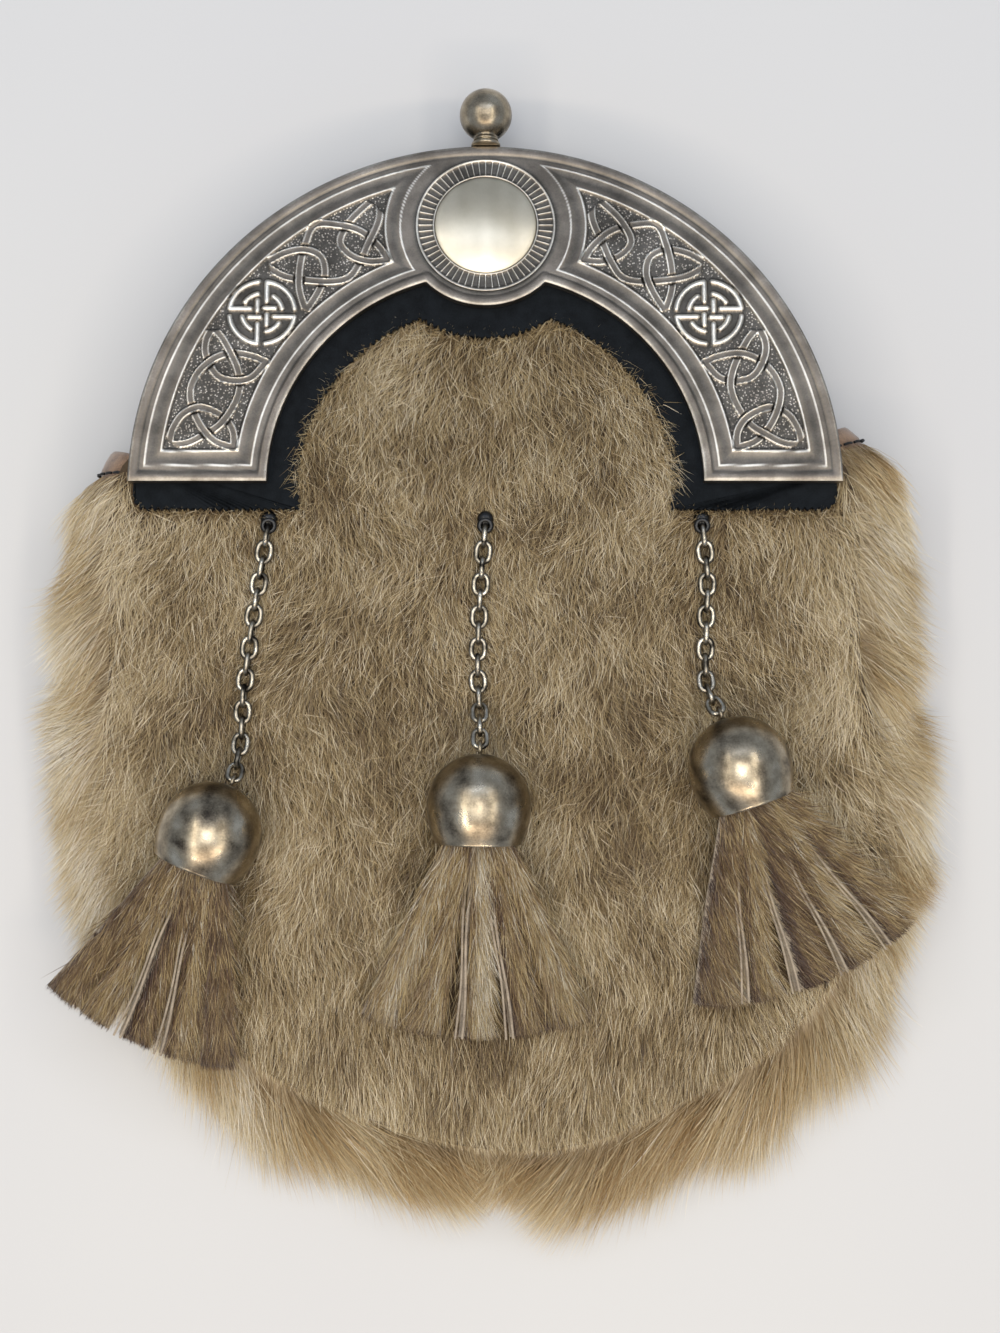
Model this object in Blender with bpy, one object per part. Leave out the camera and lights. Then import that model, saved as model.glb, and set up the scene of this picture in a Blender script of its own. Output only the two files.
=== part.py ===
"""Sporran pouch with a metal top, three chains and three fur tassels, lying on its back.

Sizes are in metres. +Z is up out of the front, +Y runs to the ball finial and +X to the right of the front.
The origin is on the flat back, in the middle of the object's length. The metal top, the flap under it and the
ball finial lie in a plane that leans back by CANTLE_TILT, because the pouch gets thinner towards its top.
"""
import math

import bmesh
import bpy
from mathutils import Matrix, Vector

# Clearance between pieces that touch
SEAT_GAP = 0.0003

# Pouch body: reach of the seam from the outline's centre where a share is 1, and heights over the floor
POUCH_REACH = 0.0940
OUTLINE_CENTRE_Y = -0.0250
POUCH_DEPTH = 0.0305
SEAM_DROP = 0.0060
CROWN_POWER = 3.0
FRONT_THICKNESS = 0.0030
BACK_THICKNESS = 0.0024
BACK_MARGIN = 0.0010
GUSSET_THICKNESS = 0.0020
GUSSET_BULGE = 0.0060
GUSSET_INSET = 0.0018
GUSSET_TOP_LEFT = math.radians(129.5)
GUSSET_TOP_RIGHT = math.radians(134.5)
GUSSET_SHARES = (0.0, 0.3, 0.7, 1.0)
GUSSET_STEPS = 17
HEM_MARGIN = 1.08
HEM_THICKNESS = 0.0032
HEM_LENGTH = 0.0056

# Outline of the front: degrees up from the bottom, left reach and right reach as shares of POUCH_REACH
OUTLINE_ROWS = (
    (0.0, 0.980, 0.980),
    (15.0, 0.955, 1.000),
    (30.0, 0.958, 0.995),
    (45.0, 0.978, 1.030),
    (60.0, 0.982, 1.050),
    (75.0, 0.988, 1.045),
    (90.0, 0.990, 1.025),
    (105.0, 1.003, 1.002),
    (115.0, 1.068, 1.058),
    (126.0, 1.180, 1.170),
    (134.0, 1.280, 1.272),
    (150.0, 1.300, 1.300),
)
SHOULDER_START = math.radians(126.0)
SHOULDER_END = math.radians(144.0)
CROWN_FADE_START = math.radians(95.0)
CROWN_FADE_END = math.radians(124.0)

# Fur on the gusset: reach beyond the seam, tip height over the floor, and the locks
FUR_REACH = 0.0160
FUR_LOCK = 0.0024
FUR_TIP_HEIGHT = 0.0085
FUR_ROOT = 0.0012
FUR_UNDERSIDE = 0.0034
FUR_COMB = 0.06
FUR_CREST_REACH = 0.55
FUR_CREST_DROP = 0.28
FUR_BELLY_REACH = 0.5
FUR_LOCK_RISE = 0.3

# Strap slots in the back
SLOT_LENGTH = 0.0260
SLOT_WIDTH = 0.0056
SLOT_X = 0.0400
SLOT_Y = 0.0780

# Metal top: a half ring in its own plane, with a round lobe that carries the boss
CANTLE_TILT = math.radians(13.0)
CANTLE_BASE_Y = 0.0448
CANTLE_RADIUS = 0.0850
CANTLE_INNER_RADIUS = 0.0520
CANTLE_THICKNESS = 0.0022
FRONT_ARCH_INSET = 0.0100
BACK_ARCH_INSET = 0.0030
LOBE_RADIUS = 0.0205
BOSS_HEIGHT_ON_TOP = CANTLE_RADIUS - LOBE_RADIUS
BOSS_CENTRE = (0.0, BOSS_HEIGHT_ON_TOP)
BOSS_RADIUS = 0.0170
BOSS_DISC_RADIUS = 0.0125
BOSS_DOME = 0.0015
DOME_RING_SHARE = 0.62
RIB_COUNT = 60
RIB_RISE = 0.0004
RIM_WIDTH = 0.0024
RIM_RISE = 0.0005
FRAME_INSET = 0.0038
PANEL_INSET = 0.0074
LINE_WIDTH = 0.0007
LINE_RISE = 0.0004
PANEL_SINK = 0.0005
STRAND_WIDTH = 0.0019
STRAND_RISE = 0.0005
ROUNDEL_RADIUS = 0.0086
ROUNDEL_ANGLE = math.radians(38.0)
ROUNDEL_BAR = 0.0013
ROUNDEL_BAR_SHARE = 0.15
ROUNDEL_RISE = 0.0009
SINK = 0.0002

# Arches about the cantle's centre that the front and the back end in under the metal top
FRONT_ARCH = CANTLE_RADIUS - FRONT_ARCH_INSET
BACK_ARCH = CANTLE_RADIUS - BACK_ARCH_INSET

# The two knots of one side: degrees up from the cantle's foot, share of the way across the sunk panel.
# Each is one closed strand in order, with its four pointed corners.
UPPER_KNOT = (
    (70.2, 0.95), (62.6, 0.76), (59.6, 0.48), (66.9, 0.07), (65.4, 0.42), (57.2, 0.93), (51.4, 0.70),
    (44.7, 0.09), (50.3, 0.20), (54.4, 0.48), (52.0, 0.80), (45.5, 0.93), (47.6, 0.54), (53.6, 0.17),
    (59.0, 0.13), (64.5, 0.38), (69.0, 0.70),
)
LOWER_KNOT = (
    (30.4, 0.92), (25.4, 0.84), (22.2, 0.44), (29.2, 0.07), (28.0, 0.46), (22.6, 0.79), (16.4, 0.80),
    (8.0, 0.07), (12.6, 0.18), (15.2, 0.50), (12.6, 0.84), (7.0, 0.92), (9.0, 0.52), (16.6, 0.20),
    (22.4, 0.22), (27.6, 0.56),
)

# Flap under the metal top
FLAP_THICKNESS = 0.0020
FLAP_EDGE_INSET = 0.0010
FLAP_INNER_RADIUS = 0.0447
FLAP_DIP_RADIUS = 0.0275
FLAP_FOOT = 0.0060
FOLD_WIDTH = 0.0300
FOLD_LEG = 0.0120
FOLD_OVERLAP = 0.0060
FOLD_BEND = 0.0030
FOLD_DROP = 0.0008

# Ball finial
BALL_RADIUS = 0.00645
BALL_HEIGHT = 0.0085
NECK_RADIUS = 0.0026
COLLAR_RADIUS = 0.0036
COLLAR_HEIGHT = 0.0009
RING_RADIUS = 0.0031

# Chains: an oval link of round wire, linked into the next one
LINK_HALF_LENGTH = 0.00240
LINK_HALF_WIDTH = 0.00165
WIRE_RADIUS = 0.00052
LINK_BITE = 0.00010
WIRE_STEPS = 5
END_TURNS = (-54.0, -18.0, 18.0, 54.0, 90.0)
SIDE_SINE = 0.99
LINK_CLEARANCE = 0.0003
EYE_SPACING = 0.0517
EYE_Y = 0.0336
EYE_STUD_RADIUS = 0.0018
EYE_STUD_HEIGHT = 0.0026
EYE_RING_RADIUS = 0.0014
EYE_WIRE_RADIUS = 0.0005
EYE_STUD_SHARE = 0.7
CAP_RING_RADIUS = 0.0016
RING_SINK_SHARE = 0.6
ROUTE_RUN_ON = 3.0

# Tassel caps: a hollow dome, part of a ball that narrows to its rim
CAP_RADIUS = 0.0122
CAP_RIM_RADIUS = 0.0101
CAP_SKIRT = 0.0088
CAP_SHOULDER_SHARE = 0.6
CAP_WALL = 0.0009
CAP_STEPS = 12

# Tassels: strips fused to a head inside the cap
HEAD_LENGTH = 0.0060
STRIP_LENGTH = 0.0490
STRIP_THICKNESS = 0.0022
STRIP_ROOT_WIDTH = 0.0034
STRIP_END_WIDTH = 0.0078
STRIP_START_SHARE = 0.6
UPPER_START_SHARE = 0.28
LOWER_START_SHARE = -0.25
LOWER_SPREAD_SHARE = 0.86
LAID_SHARE = 0.62
LAYER_RISE = 0.0024
NAP = 0.0020
FALL_BEYOND_SEAM = 0.35

# Each hanging set: links in its chain, turn of the cap and tassel from straight down, spread of the strips
HANGERS = {
    "left": {"side": -1, "links": 16, "turn": math.radians(-22.0), "spread": math.radians(19.0)},
    "centre": {"side": 0, "links": 14, "turn": math.radians(-1.0), "spread": math.radians(22.0)},
    "right": {"side": 1, "links": 12, "turn": math.radians(19.0), "spread": math.radians(23.0)},
}

# Routes of the chains from their eyes: sideways and along from the eye, and height over the lying height
CHAIN_ROUTES = {
    "left": ((0.0, 0.0, 0.0), (-0.0030, -0.0180, 0.0), (-0.0058, -0.0380, 0.0), (-0.0066, -0.0500, 0.0),
             (-0.0074, -0.0570, 0.0030), (-0.0084, -0.0640, 0.0085), (-0.0090, -0.0690, 0.0096)),
    "centre": ((0.0, 0.0, 0.0), (-0.0012, -0.0160, 0.0), (-0.0018, -0.0330, 0.0), (-0.0014, -0.0430, 0.0012),
               (-0.0012, -0.0500, 0.0065), (-0.0012, -0.0560, 0.0094), (-0.0012, -0.0640, 0.0096)),
    "right": ((0.0, 0.0, 0.0), (0.0012, -0.0120, 0.0), (0.0010, -0.0220, 0.0), (0.0008, -0.0330, 0.0),
              (0.0012, -0.0390, 0.0020), (0.0032, -0.0440, 0.0070), (0.0064, -0.0490, 0.0096)),
}


def material(name, colour, metallic, roughness):
    """One Principled material."""
    made = bpy.data.materials.new(name)
    made.use_nodes = True
    shader = made.node_tree.nodes["Principled BSDF"]
    shader.inputs["Base Color"].default_value = (*colour, 1.0)
    shader.inputs["Metallic"].default_value = metallic
    shader.inputs["Roughness"].default_value = roughness
    made.diffuse_color = (*colour, 1.0)
    return made


def new_object(name, mesh_data, finish=None, parent=None, smooth_angle=None):
    """An object of a bmesh, with its faces turned out."""
    bmesh.ops.recalc_face_normals(mesh_data, faces=mesh_data.faces[:])
    mesh = bpy.data.meshes.new(name)
    mesh_data.to_mesh(mesh)
    mesh_data.free()
    made = bpy.data.objects.new(name, mesh)
    bpy.context.scene.collection.objects.link(made)
    if finish is not None:
        mesh.materials.append(finish)
    if parent is not None:
        made.parent = parent
    if smooth_angle is not None:
        mesh.shade_smooth()
        mesh.set_sharp_from_angle(angle=smooth_angle)
    return made


def combine(target, tool, operation="UNION"):
    """Fuses a tool with the target, or cuts it out, and removes the tool."""
    tool.parent = target.parent
    modifier = target.modifiers.new("combine", "BOOLEAN")
    modifier.operation = operation
    modifier.object = tool
    modifier.solver = "EXACT"
    modifier.use_self = operation == "UNION"
    bpy.context.view_layer.update()
    depsgraph = bpy.context.evaluated_depsgraph_get()
    result = bpy.data.meshes.new_from_object(target.evaluated_get(depsgraph))
    target.modifiers.remove(modifier)
    target.data = result
    bpy.data.objects.remove(tool)


def smooth_step(low, high, value):
    """0 below low, 1 above high, and a smooth rise between them."""
    share = min(1.0, max(0.0, (value - low) / (high - low)))
    return share * share * (3.0 - 2.0 * share)


def mix(first, second, share):
    """The value a share of the way from the first to the second."""
    return first + (second - first) * share


def read_table(rows, column, position):
    """Reads a column of a table at a position in its first column, along a smooth curve through its rows."""
    last = len(rows) - 2
    start = max(index for index in range(last + 1) if index == 0 or rows[index][0] <= position)
    keys = [rows[min(max(start + step, 0), last + 1)] for step in (-1, 0, 1, 2)]
    width = keys[2][0] - keys[1][0]
    share = min(1.0, max(0.0, (position - keys[1][0]) / width))
    slopes = []
    for before, after in ((keys[0], keys[2]), (keys[1], keys[3])):
        slopes.append((after[column] - before[column]) / (after[0] - before[0]) * width)
    first, second = keys[1][column], keys[2][column]
    square, cube = share * share, share ** 3
    return (first * (2.0 * cube - 3.0 * square + 1.0) + slopes[0] * (cube - 2.0 * square + share)
            + second * (3.0 * square - 2.0 * cube) + slopes[1] * (cube - square))


def arch_reach(angle, radius):
    """Reach from the outline's centre to an arch of that radius about the cantle's centre, seen in plan."""
    squeeze = 1.0 / math.cos(CANTLE_TILT)
    offset = CANTLE_BASE_Y - OUTLINE_CENTRE_Y
    across, along = math.sin(angle), -math.cos(angle)
    square = across ** 2 + (along * squeeze) ** 2
    half = -along * offset * squeeze ** 2
    constant = (offset * squeeze) ** 2 - radius ** 2
    return (-half + math.sqrt(max(0.0, half ** 2 - square * constant))) / square


def outline_reach(angle, arch_radius):
    """Reach of the outline at an angle from straight down, positive to the right."""
    column = 2 if angle >= 0.0 else 1
    side = POUCH_REACH * read_table(OUTLINE_ROWS, column, math.degrees(abs(angle)))
    if abs(angle) <= SHOULDER_START:
        return side
    top = arch_reach(abs(angle), arch_radius)
    return mix(side, top, smooth_step(SHOULDER_START, SHOULDER_END, abs(angle)))


def outline_point(angle, arch_radius, grow=0.0):
    """Point of the outline in plan, moved out by grow."""
    reach = outline_reach(angle, arch_radius) + grow
    return Vector((math.sin(angle) * reach, OUTLINE_CENTRE_Y - math.cos(angle) * reach))


def front_height(x, y):
    """Height of the front's outer face at a point in plan, also just beyond its edge."""
    offset = Vector((x, y - OUTLINE_CENTRE_Y))
    angle = math.atan2(offset.x, -offset.y)
    share = min(1.0, offset.length / outline_reach(angle, FRONT_ARCH))
    fade = 1.0 - smooth_step(CROWN_FADE_START, CROWN_FADE_END, abs(angle))
    crown = SEAM_DROP * share ** CROWN_POWER * fade
    return POUCH_DEPTH - crown - max(0.0, y - CANTLE_BASE_Y) * math.tan(CANTLE_TILT)


def bridge_rings(mesh_data, rings, closed=True):
    """Quads between rings of vertices with as many vertices each."""
    count = len(rings[0])
    for first, second in zip(rings, rings[1:]):
        for step in range(count if closed else count - 1):
            after = (step + 1) % count
            mesh_data.faces.new((first[step], first[after], second[after], second[step]))


def ring_of(mesh_data, points):
    """Vertices at the points."""
    return [mesh_data.verts.new(point) for point in points]


def prism(points, low, high, name="prism"):
    """A flat outline raised from low to high."""
    mesh_data = bmesh.new()
    rings = [ring_of(mesh_data, [(x, y, level) for x, y in points]) for level in (low, high)]
    bridge_rings(mesh_data, rings)
    mesh_data.faces.new(rings[0])
    mesh_data.faces.new(rings[1])
    return new_object(name, mesh_data)


def offset_loop(points, distance):
    """A closed flat loop moved sideways, with mitred corners of limited length."""
    moved = []
    for index, point in enumerate(points):
        before = (point - points[index - 1]).normalized()
        after = (points[(index + 1) % len(points)] - point).normalized()
        bisector = (before + after).normalized() if (before + after).length > 1e-6 else before
        side = Vector((bisector.y, -bisector.x))
        stretch = 1.0 / max(0.6, side.dot(Vector((after.y, -after.x))))
        moved.append(point + side * distance * stretch)
    return moved


def strand_loop(points, width, low, high, peak=None):
    """A raised band along a closed flat loop, with a flat top, or a ridge when peak is given."""
    mesh_data = bmesh.new()
    outer, inner = offset_loop(points, width / 2.0), offset_loop(points, -width / 2.0)
    rings = [ring_of(mesh_data, [(p.x, p.y, low) for p in outer])]
    if peak is None:
        rings.append(ring_of(mesh_data, [(p.x, p.y, high) for p in outer]))
        rings.append(ring_of(mesh_data, [(p.x, p.y, high) for p in inner]))
    else:
        rings.append(ring_of(mesh_data, [(p.x, p.y, peak) for p in points]))
    rings.append(ring_of(mesh_data, [(p.x, p.y, low) for p in inner]))
    bridge_rings(mesh_data, rings + rings[:1])
    return new_object("strand", mesh_data)


def turned(profile, steps, finish=None, name="turned"):
    """A closed profile of (radius, height) turned about Z. A radius of 0 closes to a point."""
    mesh_data = bmesh.new()
    rings = []
    for radius, height in profile:
        if radius == 0.0:
            rings.append([mesh_data.verts.new((0.0, 0.0, height))])
            continue
        angles = [2.0 * math.pi * step / steps for step in range(steps)]
        circle = [(radius * math.cos(a), radius * math.sin(a), height) for a in angles]
        rings.append(ring_of(mesh_data, circle))
    for first, second in zip(rings, rings[1:]):
        if len(first) == 1 or len(second) == 1:
            point, ring = (first[0], second) if len(first) == 1 else (second[0], first)
            for step in range(steps):
                mesh_data.faces.new((point, ring[step], ring[(step + 1) % steps]))
        else:
            bridge_rings(mesh_data, [first, second])
    return new_object(name, mesh_data, finish)


def wire_ring(centre, along, across, half_length, half_width, wire_radius):
    """A bmesh of a ring of round wire in the plane of the two directions: round ends, straight sides."""
    mesh_data = bmesh.new()
    normal = along.cross(across).normalized()
    straight = half_length - half_width
    rings = []
    for end, turns in ((1.0, END_TURNS), (-1.0, END_TURNS)):
        for degrees in turns:
            cosine, sine = math.cos(math.radians(degrees)), math.sin(math.radians(degrees))
            outward = (along * cosine + across * sine) * end
            shift = 0.0 if abs(sine) > SIDE_SINE else straight * end
            middle = centre + along * shift + outward * half_width
            points = []
            for turn in range(WIRE_STEPS):
                roll = 2.0 * math.pi * turn / WIRE_STEPS + math.pi
                points.append(middle + (outward * math.cos(roll) + normal * math.sin(roll)) * wire_radius)
            rings.append(ring_of(mesh_data, points))
    bridge_rings(mesh_data, rings + rings[:1])
    return mesh_data


def arc(centre, radius, start, end, steps, include_end=True):
    """Points along an arc, from start to end in radians."""
    count = steps + 1 if include_end else steps
    angles = [start + (end - start) * step / steps for step in range(count)]
    return [Vector((centre[0] + radius * math.cos(a), centre[1] + radius * math.sin(a))) for a in angles]


def meet(centre_a, radius_a, centre_b, radius_b, prefer):
    """The meeting point of two circles that lies further towards the preferred direction."""
    first, second = Vector(centre_a), Vector(centre_b)
    line = second - first
    along = (radius_a ** 2 - radius_b ** 2 + line.length_squared) / (2.0 * line.length)
    height = math.sqrt(max(0.0, radius_a ** 2 - along ** 2))
    direction = line.normalized()
    side = Vector((-direction.y, direction.x))
    options = [first + direction * along + side * height, first + direction * along - side * height]
    return max(options, key=lambda point: point.dot(Vector(prefer)))


def angle_of(point, centre=(0.0, 0.0)):
    """Angle of a point about a centre."""
    return math.atan2(point[1] - centre[1], point[0] - centre[0])


def cantle_outline(inset):
    """Outline of the metal top, moved in by the inset: outer arc, foot, inner arc, lobe and back."""
    outer, inner, lobe = CANTLE_RADIUS - inset, CANTLE_INNER_RADIUS + inset, LOBE_RADIUS - inset
    foot = math.asin(inset / outer)
    inner_foot = math.asin(inset / inner)
    cusp = meet((0.0, 0.0), inner, BOSS_CENTRE, lobe, (1.0, 0.0))
    cusp_angle = angle_of(cusp)
    lobe_angle = angle_of(cusp, BOSS_CENTRE)
    points = arc((0.0, 0.0), outer, foot, math.pi - foot, 28)
    points += arc((0.0, 0.0), inner, math.pi - inner_foot, math.pi - cusp_angle, 7, include_end=False)
    points += arc(BOSS_CENTRE, lobe, -math.pi - lobe_angle, lobe_angle, 8, include_end=False)
    points += arc((0.0, 0.0), inner, cusp_angle, inner_foot, 7)
    return points


def panel_outline(inset, side):
    """Outline of one sunk side panel: its edges keep the inset from the cantle's edges and the boss."""
    outer, inner, boss = CANTLE_RADIUS - inset, CANTLE_INNER_RADIUS + inset, BOSS_RADIUS + inset
    upper = meet((0.0, 0.0), outer, BOSS_CENTRE, boss, (1.0, 0.0))
    lower = meet((0.0, 0.0), inner, BOSS_CENTRE, boss, (1.0, 0.0))
    points = arc((0.0, 0.0), outer, math.asin(inset / outer), angle_of(upper), 8, include_end=False)
    points += arc(BOSS_CENTRE, boss, angle_of(upper, BOSS_CENTRE), angle_of(lower, BOSS_CENTRE), 3,
                  include_end=False)
    points += arc((0.0, 0.0), inner, angle_of(lower), math.asin(inset / inner), 6)
    return [Vector((point.x * side, point.y)) for point in points]


def knot_loop(rows, side):
    """One knot's strand in the cantle's plane."""
    inner, outer = CANTLE_INNER_RADIUS + PANEL_INSET, CANTLE_RADIUS - PANEL_INSET
    points = []
    for degrees, share in rows:
        radius, angle = mix(inner, outer, share), math.radians(degrees)
        points.append(Vector((side * radius * math.cos(angle), radius * math.sin(angle))))
    return points


def make_boss(field):
    """The boss: a ribbed ring round a domed disc, standing on the field's level."""
    mesh_data = bmesh.new()
    top = field + RIB_RISE
    count = 2 * RIB_COUNT

    def circle(radius, steps, level, lift=0.0):
        """Vertices round the boss, every second one lifted."""
        made = []
        for step in range(steps):
            angle = 2.0 * math.pi * step / steps
            height = level + (lift if step % 2 else 0.0)
            made.append(mesh_data.verts.new((radius * math.cos(angle),
                                             BOSS_HEIGHT_ON_TOP + radius * math.sin(angle), height)))
        return made

    def join_half(fine, coarse):
        """Faces between a ring and one with half as many vertices."""
        for step, vertex in enumerate(coarse):
            after = (step + 1) % len(coarse)
            here, ridge, there = 2 * step, 2 * step + 1, (2 * step + 2) % len(fine)
            mesh_data.faces.new((vertex, fine[here], fine[ridge]))
            mesh_data.faces.new((vertex, fine[ridge], coarse[after]))
            mesh_data.faces.new((coarse[after], fine[ridge], fine[there]))

    base = circle(BOSS_RADIUS, RIB_COUNT, field - SINK)
    ribs_out = circle(BOSS_RADIUS, count, field + SINK / 2.0, RIB_RISE)
    ribs_in = circle(BOSS_DISC_RADIUS, count, field + SINK, RIB_RISE)
    dome_ring = circle(BOSS_DISC_RADIUS * DOME_RING_SHARE, RIB_COUNT // 2, top + BOSS_DOME * DOME_RING_SHARE)
    crown = mesh_data.verts.new((0.0, BOSS_HEIGHT_ON_TOP, top + BOSS_DOME))
    bridge_rings(mesh_data, [ribs_out, ribs_in])
    bridge_rings(mesh_data, [base, ribs_out[::2]])
    join_half(ribs_in[::2], dome_ring)
    for step in range(RIB_COUNT):
        after = (2 * step + 2) % count
        mesh_data.faces.new((ribs_out[2 * step], ribs_out[2 * step + 1], ribs_out[after]))
        mesh_data.faces.new((ribs_in[2 * step], ribs_in[2 * step + 1], ribs_in[after]))
    for step in range(len(dome_ring)):
        mesh_data.faces.new((crown, dome_ring[step], dome_ring[(step + 1) % len(dome_ring)]))
    mesh_data.faces.new(base)
    return new_object("boss", mesh_data)


def make_cantle(finish, plane):
    """The metal top as one casting: rim, frame lines, sunk panels, knots, roundels and boss."""
    seat = 2.0 * SEAT_GAP + FLAP_THICKNESS
    field = seat + CANTLE_THICKNESS
    mesh_data = bmesh.new()
    levels = (
        (0.0, seat),
        (0.0, field + RIM_RISE * 0.3),
        (RIM_WIDTH * 0.45, field + RIM_RISE),
        (RIM_WIDTH, field),
    )
    rings = []
    for inset, level in levels:
        rings.append(ring_of(mesh_data, [(p.x, p.y, level) for p in cantle_outline(inset)]))
    bridge_rings(mesh_data, rings)
    mesh_data.faces.new(rings[0])
    mesh_data.faces.new(rings[-1])
    cantle = new_object("cantle", mesh_data, finish, plane)
    panel_floor = field - PANEL_SINK
    for side in (-1.0, 1.0):
        panel = prism(panel_outline(PANEL_INSET, side), panel_floor, field + PANEL_SINK)
        combine(cantle, panel, "DIFFERENCE")
        line = panel_outline(FRAME_INSET, side)
        combine(cantle, strand_loop(line, LINE_WIDTH, field - SINK, field, field + LINE_RISE))
        for rows in (UPPER_KNOT, LOWER_KNOT):
            loop = knot_loop(rows, side)
            high = panel_floor + STRAND_RISE
            combine(cantle, strand_loop(loop, STRAND_WIDTH, panel_floor - SINK, high, high))
        combine(cantle, make_roundel(side, panel_floor))
    combine(cantle, make_boss(field))
    return cantle


def make_roundel(side, panel_floor):
    """A raised roundel: a cross in a ring."""
    middle = (CANTLE_RADIUS + CANTLE_INNER_RADIUS) / 2.0
    centre = (side * middle * math.cos(ROUNDEL_ANGLE), middle * math.sin(ROUNDEL_ANGLE))
    high = panel_floor + ROUNDEL_RISE
    low = panel_floor - SINK
    reach = ROUNDEL_RADIUS - ROUNDEL_BAR / 2.0
    ring = arc(centre, reach, 0.0, 2.0 * math.pi, 12, include_end=False)
    roundel = strand_loop(ring, ROUNDEL_BAR, low, high)
    shift = ROUNDEL_RADIUS * ROUNDEL_BAR_SHARE
    corners = ((-1, -1), (1, -1), (1, 1), (-1, 1))
    upright = [(centre[0] + shift * a, centre[1] + reach * b) for a, b in corners]
    level = [(centre[0] + reach * a, centre[1] + shift * b) for a, b in corners]
    combine(roundel, prism(upright, low, high - SINK / 2.0))
    combine(roundel, prism(level, low, high - SINK / 2.0))
    return roundel


def make_flap(finish, plane):
    """The flap under the metal top, with the fold that carries it down to the back."""
    low, high = SEAT_GAP, SEAT_GAP + FLAP_THICKNESS
    outer = CANTLE_RADIUS - FLAP_EDGE_INSET
    cusp = meet((0.0, 0.0), FLAP_INNER_RADIUS, BOSS_CENTRE, FLAP_DIP_RADIUS, (1.0, 0.0))
    lobe_angle = angle_of(cusp, BOSS_CENTRE)
    foot = -math.asin(FLAP_FOOT / outer)
    inner_foot = -math.asin(FLAP_FOOT / FLAP_INNER_RADIUS)
    points = arc((0.0, 0.0), outer, foot, math.pi - foot, 26)
    points += arc((0.0, 0.0), FLAP_INNER_RADIUS, math.pi - inner_foot, math.pi - angle_of(cusp), 8,
                  include_end=False)
    points += arc(BOSS_CENTRE, FLAP_DIP_RADIUS, -math.pi - lobe_angle, lobe_angle, 8, include_end=False)
    points += arc((0.0, 0.0), FLAP_INNER_RADIUS, angle_of(cusp), inner_foot, 8)
    mesh_data = bmesh.new()
    rings = [ring_of(mesh_data, [(p.x, p.y, level) for p in points]) for level in (low, high)]
    bridge_rings(mesh_data, rings)
    mesh_data.faces.new(rings[0])
    mesh_data.faces.new(rings[1])
    flap = new_object("flap", mesh_data, finish, plane)
    combine(flap, make_fold(plane))
    return flap


def make_fold(plane):
    """The bent strip from the flap's top edge down onto the back panel's inner face."""
    to_plane = plane.matrix_world.inverted()
    root_along = CANTLE_RADIUS - FLAP_EDGE_INSET - FOLD_OVERLAP
    root = plane.matrix_world @ Vector((0.0, root_along, SEAT_GAP + FLAP_THICKNESS / 2.0))
    along = plane.matrix_world.to_3x3() @ Vector((0.0, 1.0, 0.0))
    low = BACK_THICKNESS + SEAT_GAP + FLAP_THICKNESS / 2.0
    turn_height = (root.z - low) / 2.0
    middle = [
        root,
        root + along * FOLD_BEND,
        Vector((0.0, root.y + 1.8 * FOLD_BEND, root.z - 0.25 * turn_height - FOLD_DROP)),
        Vector((0.0, root.y + 1.9 * FOLD_BEND, low + 0.9 * turn_height)),
        Vector((0.0, root.y + 1.4 * FOLD_BEND, low + 0.25 * turn_height)),
        Vector((0.0, root.y + 0.4 * FOLD_BEND, low)),
        Vector((0.0, root.y + 0.4 * FOLD_BEND - FOLD_LEG, low)),
    ]
    outer_side, inner_side = [], []
    for index, point in enumerate(middle):
        before = middle[max(index - 1, 0)]
        after = middle[min(index + 1, len(middle) - 1)]
        direction = (after - before).normalized()
        side = Vector((0.0, -direction.z, direction.y))
        half = FLAP_THICKNESS / 2.0 if index else FLAP_THICKNESS / 2.0 - SINK
        outer_side.append(to_plane @ (point + side * half))
        inner_side.append(to_plane @ (point - side * half))
    section = outer_side + inner_side[::-1]
    mesh_data = bmesh.new()
    rings = []
    for x in (-FOLD_WIDTH / 2.0, FOLD_WIDTH / 2.0):
        rings.append(ring_of(mesh_data, [(x, p.y, p.z) for p in section]))
    bridge_rings(mesh_data, rings)
    mesh_data.faces.new(rings[0])
    mesh_data.faces.new(rings[1])
    return new_object("fold", mesh_data)


def make_finial(finish, plane):
    """The ball with its stepped neck, turned about the cantle's own length."""
    neck = BALL_HEIGHT - math.sqrt(BALL_RADIUS ** 2 - NECK_RADIUS ** 2)
    profile = [
        (0.0, 0.0),
        (COLLAR_RADIUS, 0.0),
        (COLLAR_RADIUS, COLLAR_HEIGHT),
        (NECK_RADIUS, COLLAR_HEIGHT * 1.2),
        (RING_RADIUS, (COLLAR_HEIGHT + neck) / 2.0 + COLLAR_HEIGHT / 4.0),
        (NECK_RADIUS, neck),
    ]
    start = math.asin(NECK_RADIUS / BALL_RADIUS)
    for step in range(1, 5):
        angle = start + (math.pi - start) * step / 5.0
        profile.append((BALL_RADIUS * math.sin(angle), BALL_HEIGHT - BALL_RADIUS * math.cos(angle)))
    profile.append((0.0, BALL_HEIGHT + BALL_RADIUS))
    finial = turned(profile, 12, finish, "ball_finial")
    finial.data.shade_smooth()
    finial.data.set_sharp_from_angle(angle=math.radians(50.0))
    finial.parent = plane
    middle = 2.0 * SEAT_GAP + FLAP_THICKNESS + CANTLE_THICKNESS / 2.0
    finial.location = (0.0, CANTLE_RADIUS + SEAT_GAP, middle)
    finial.rotation_euler = (-math.pi / 2.0, 0.0, 0.0)
    return finial


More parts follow.
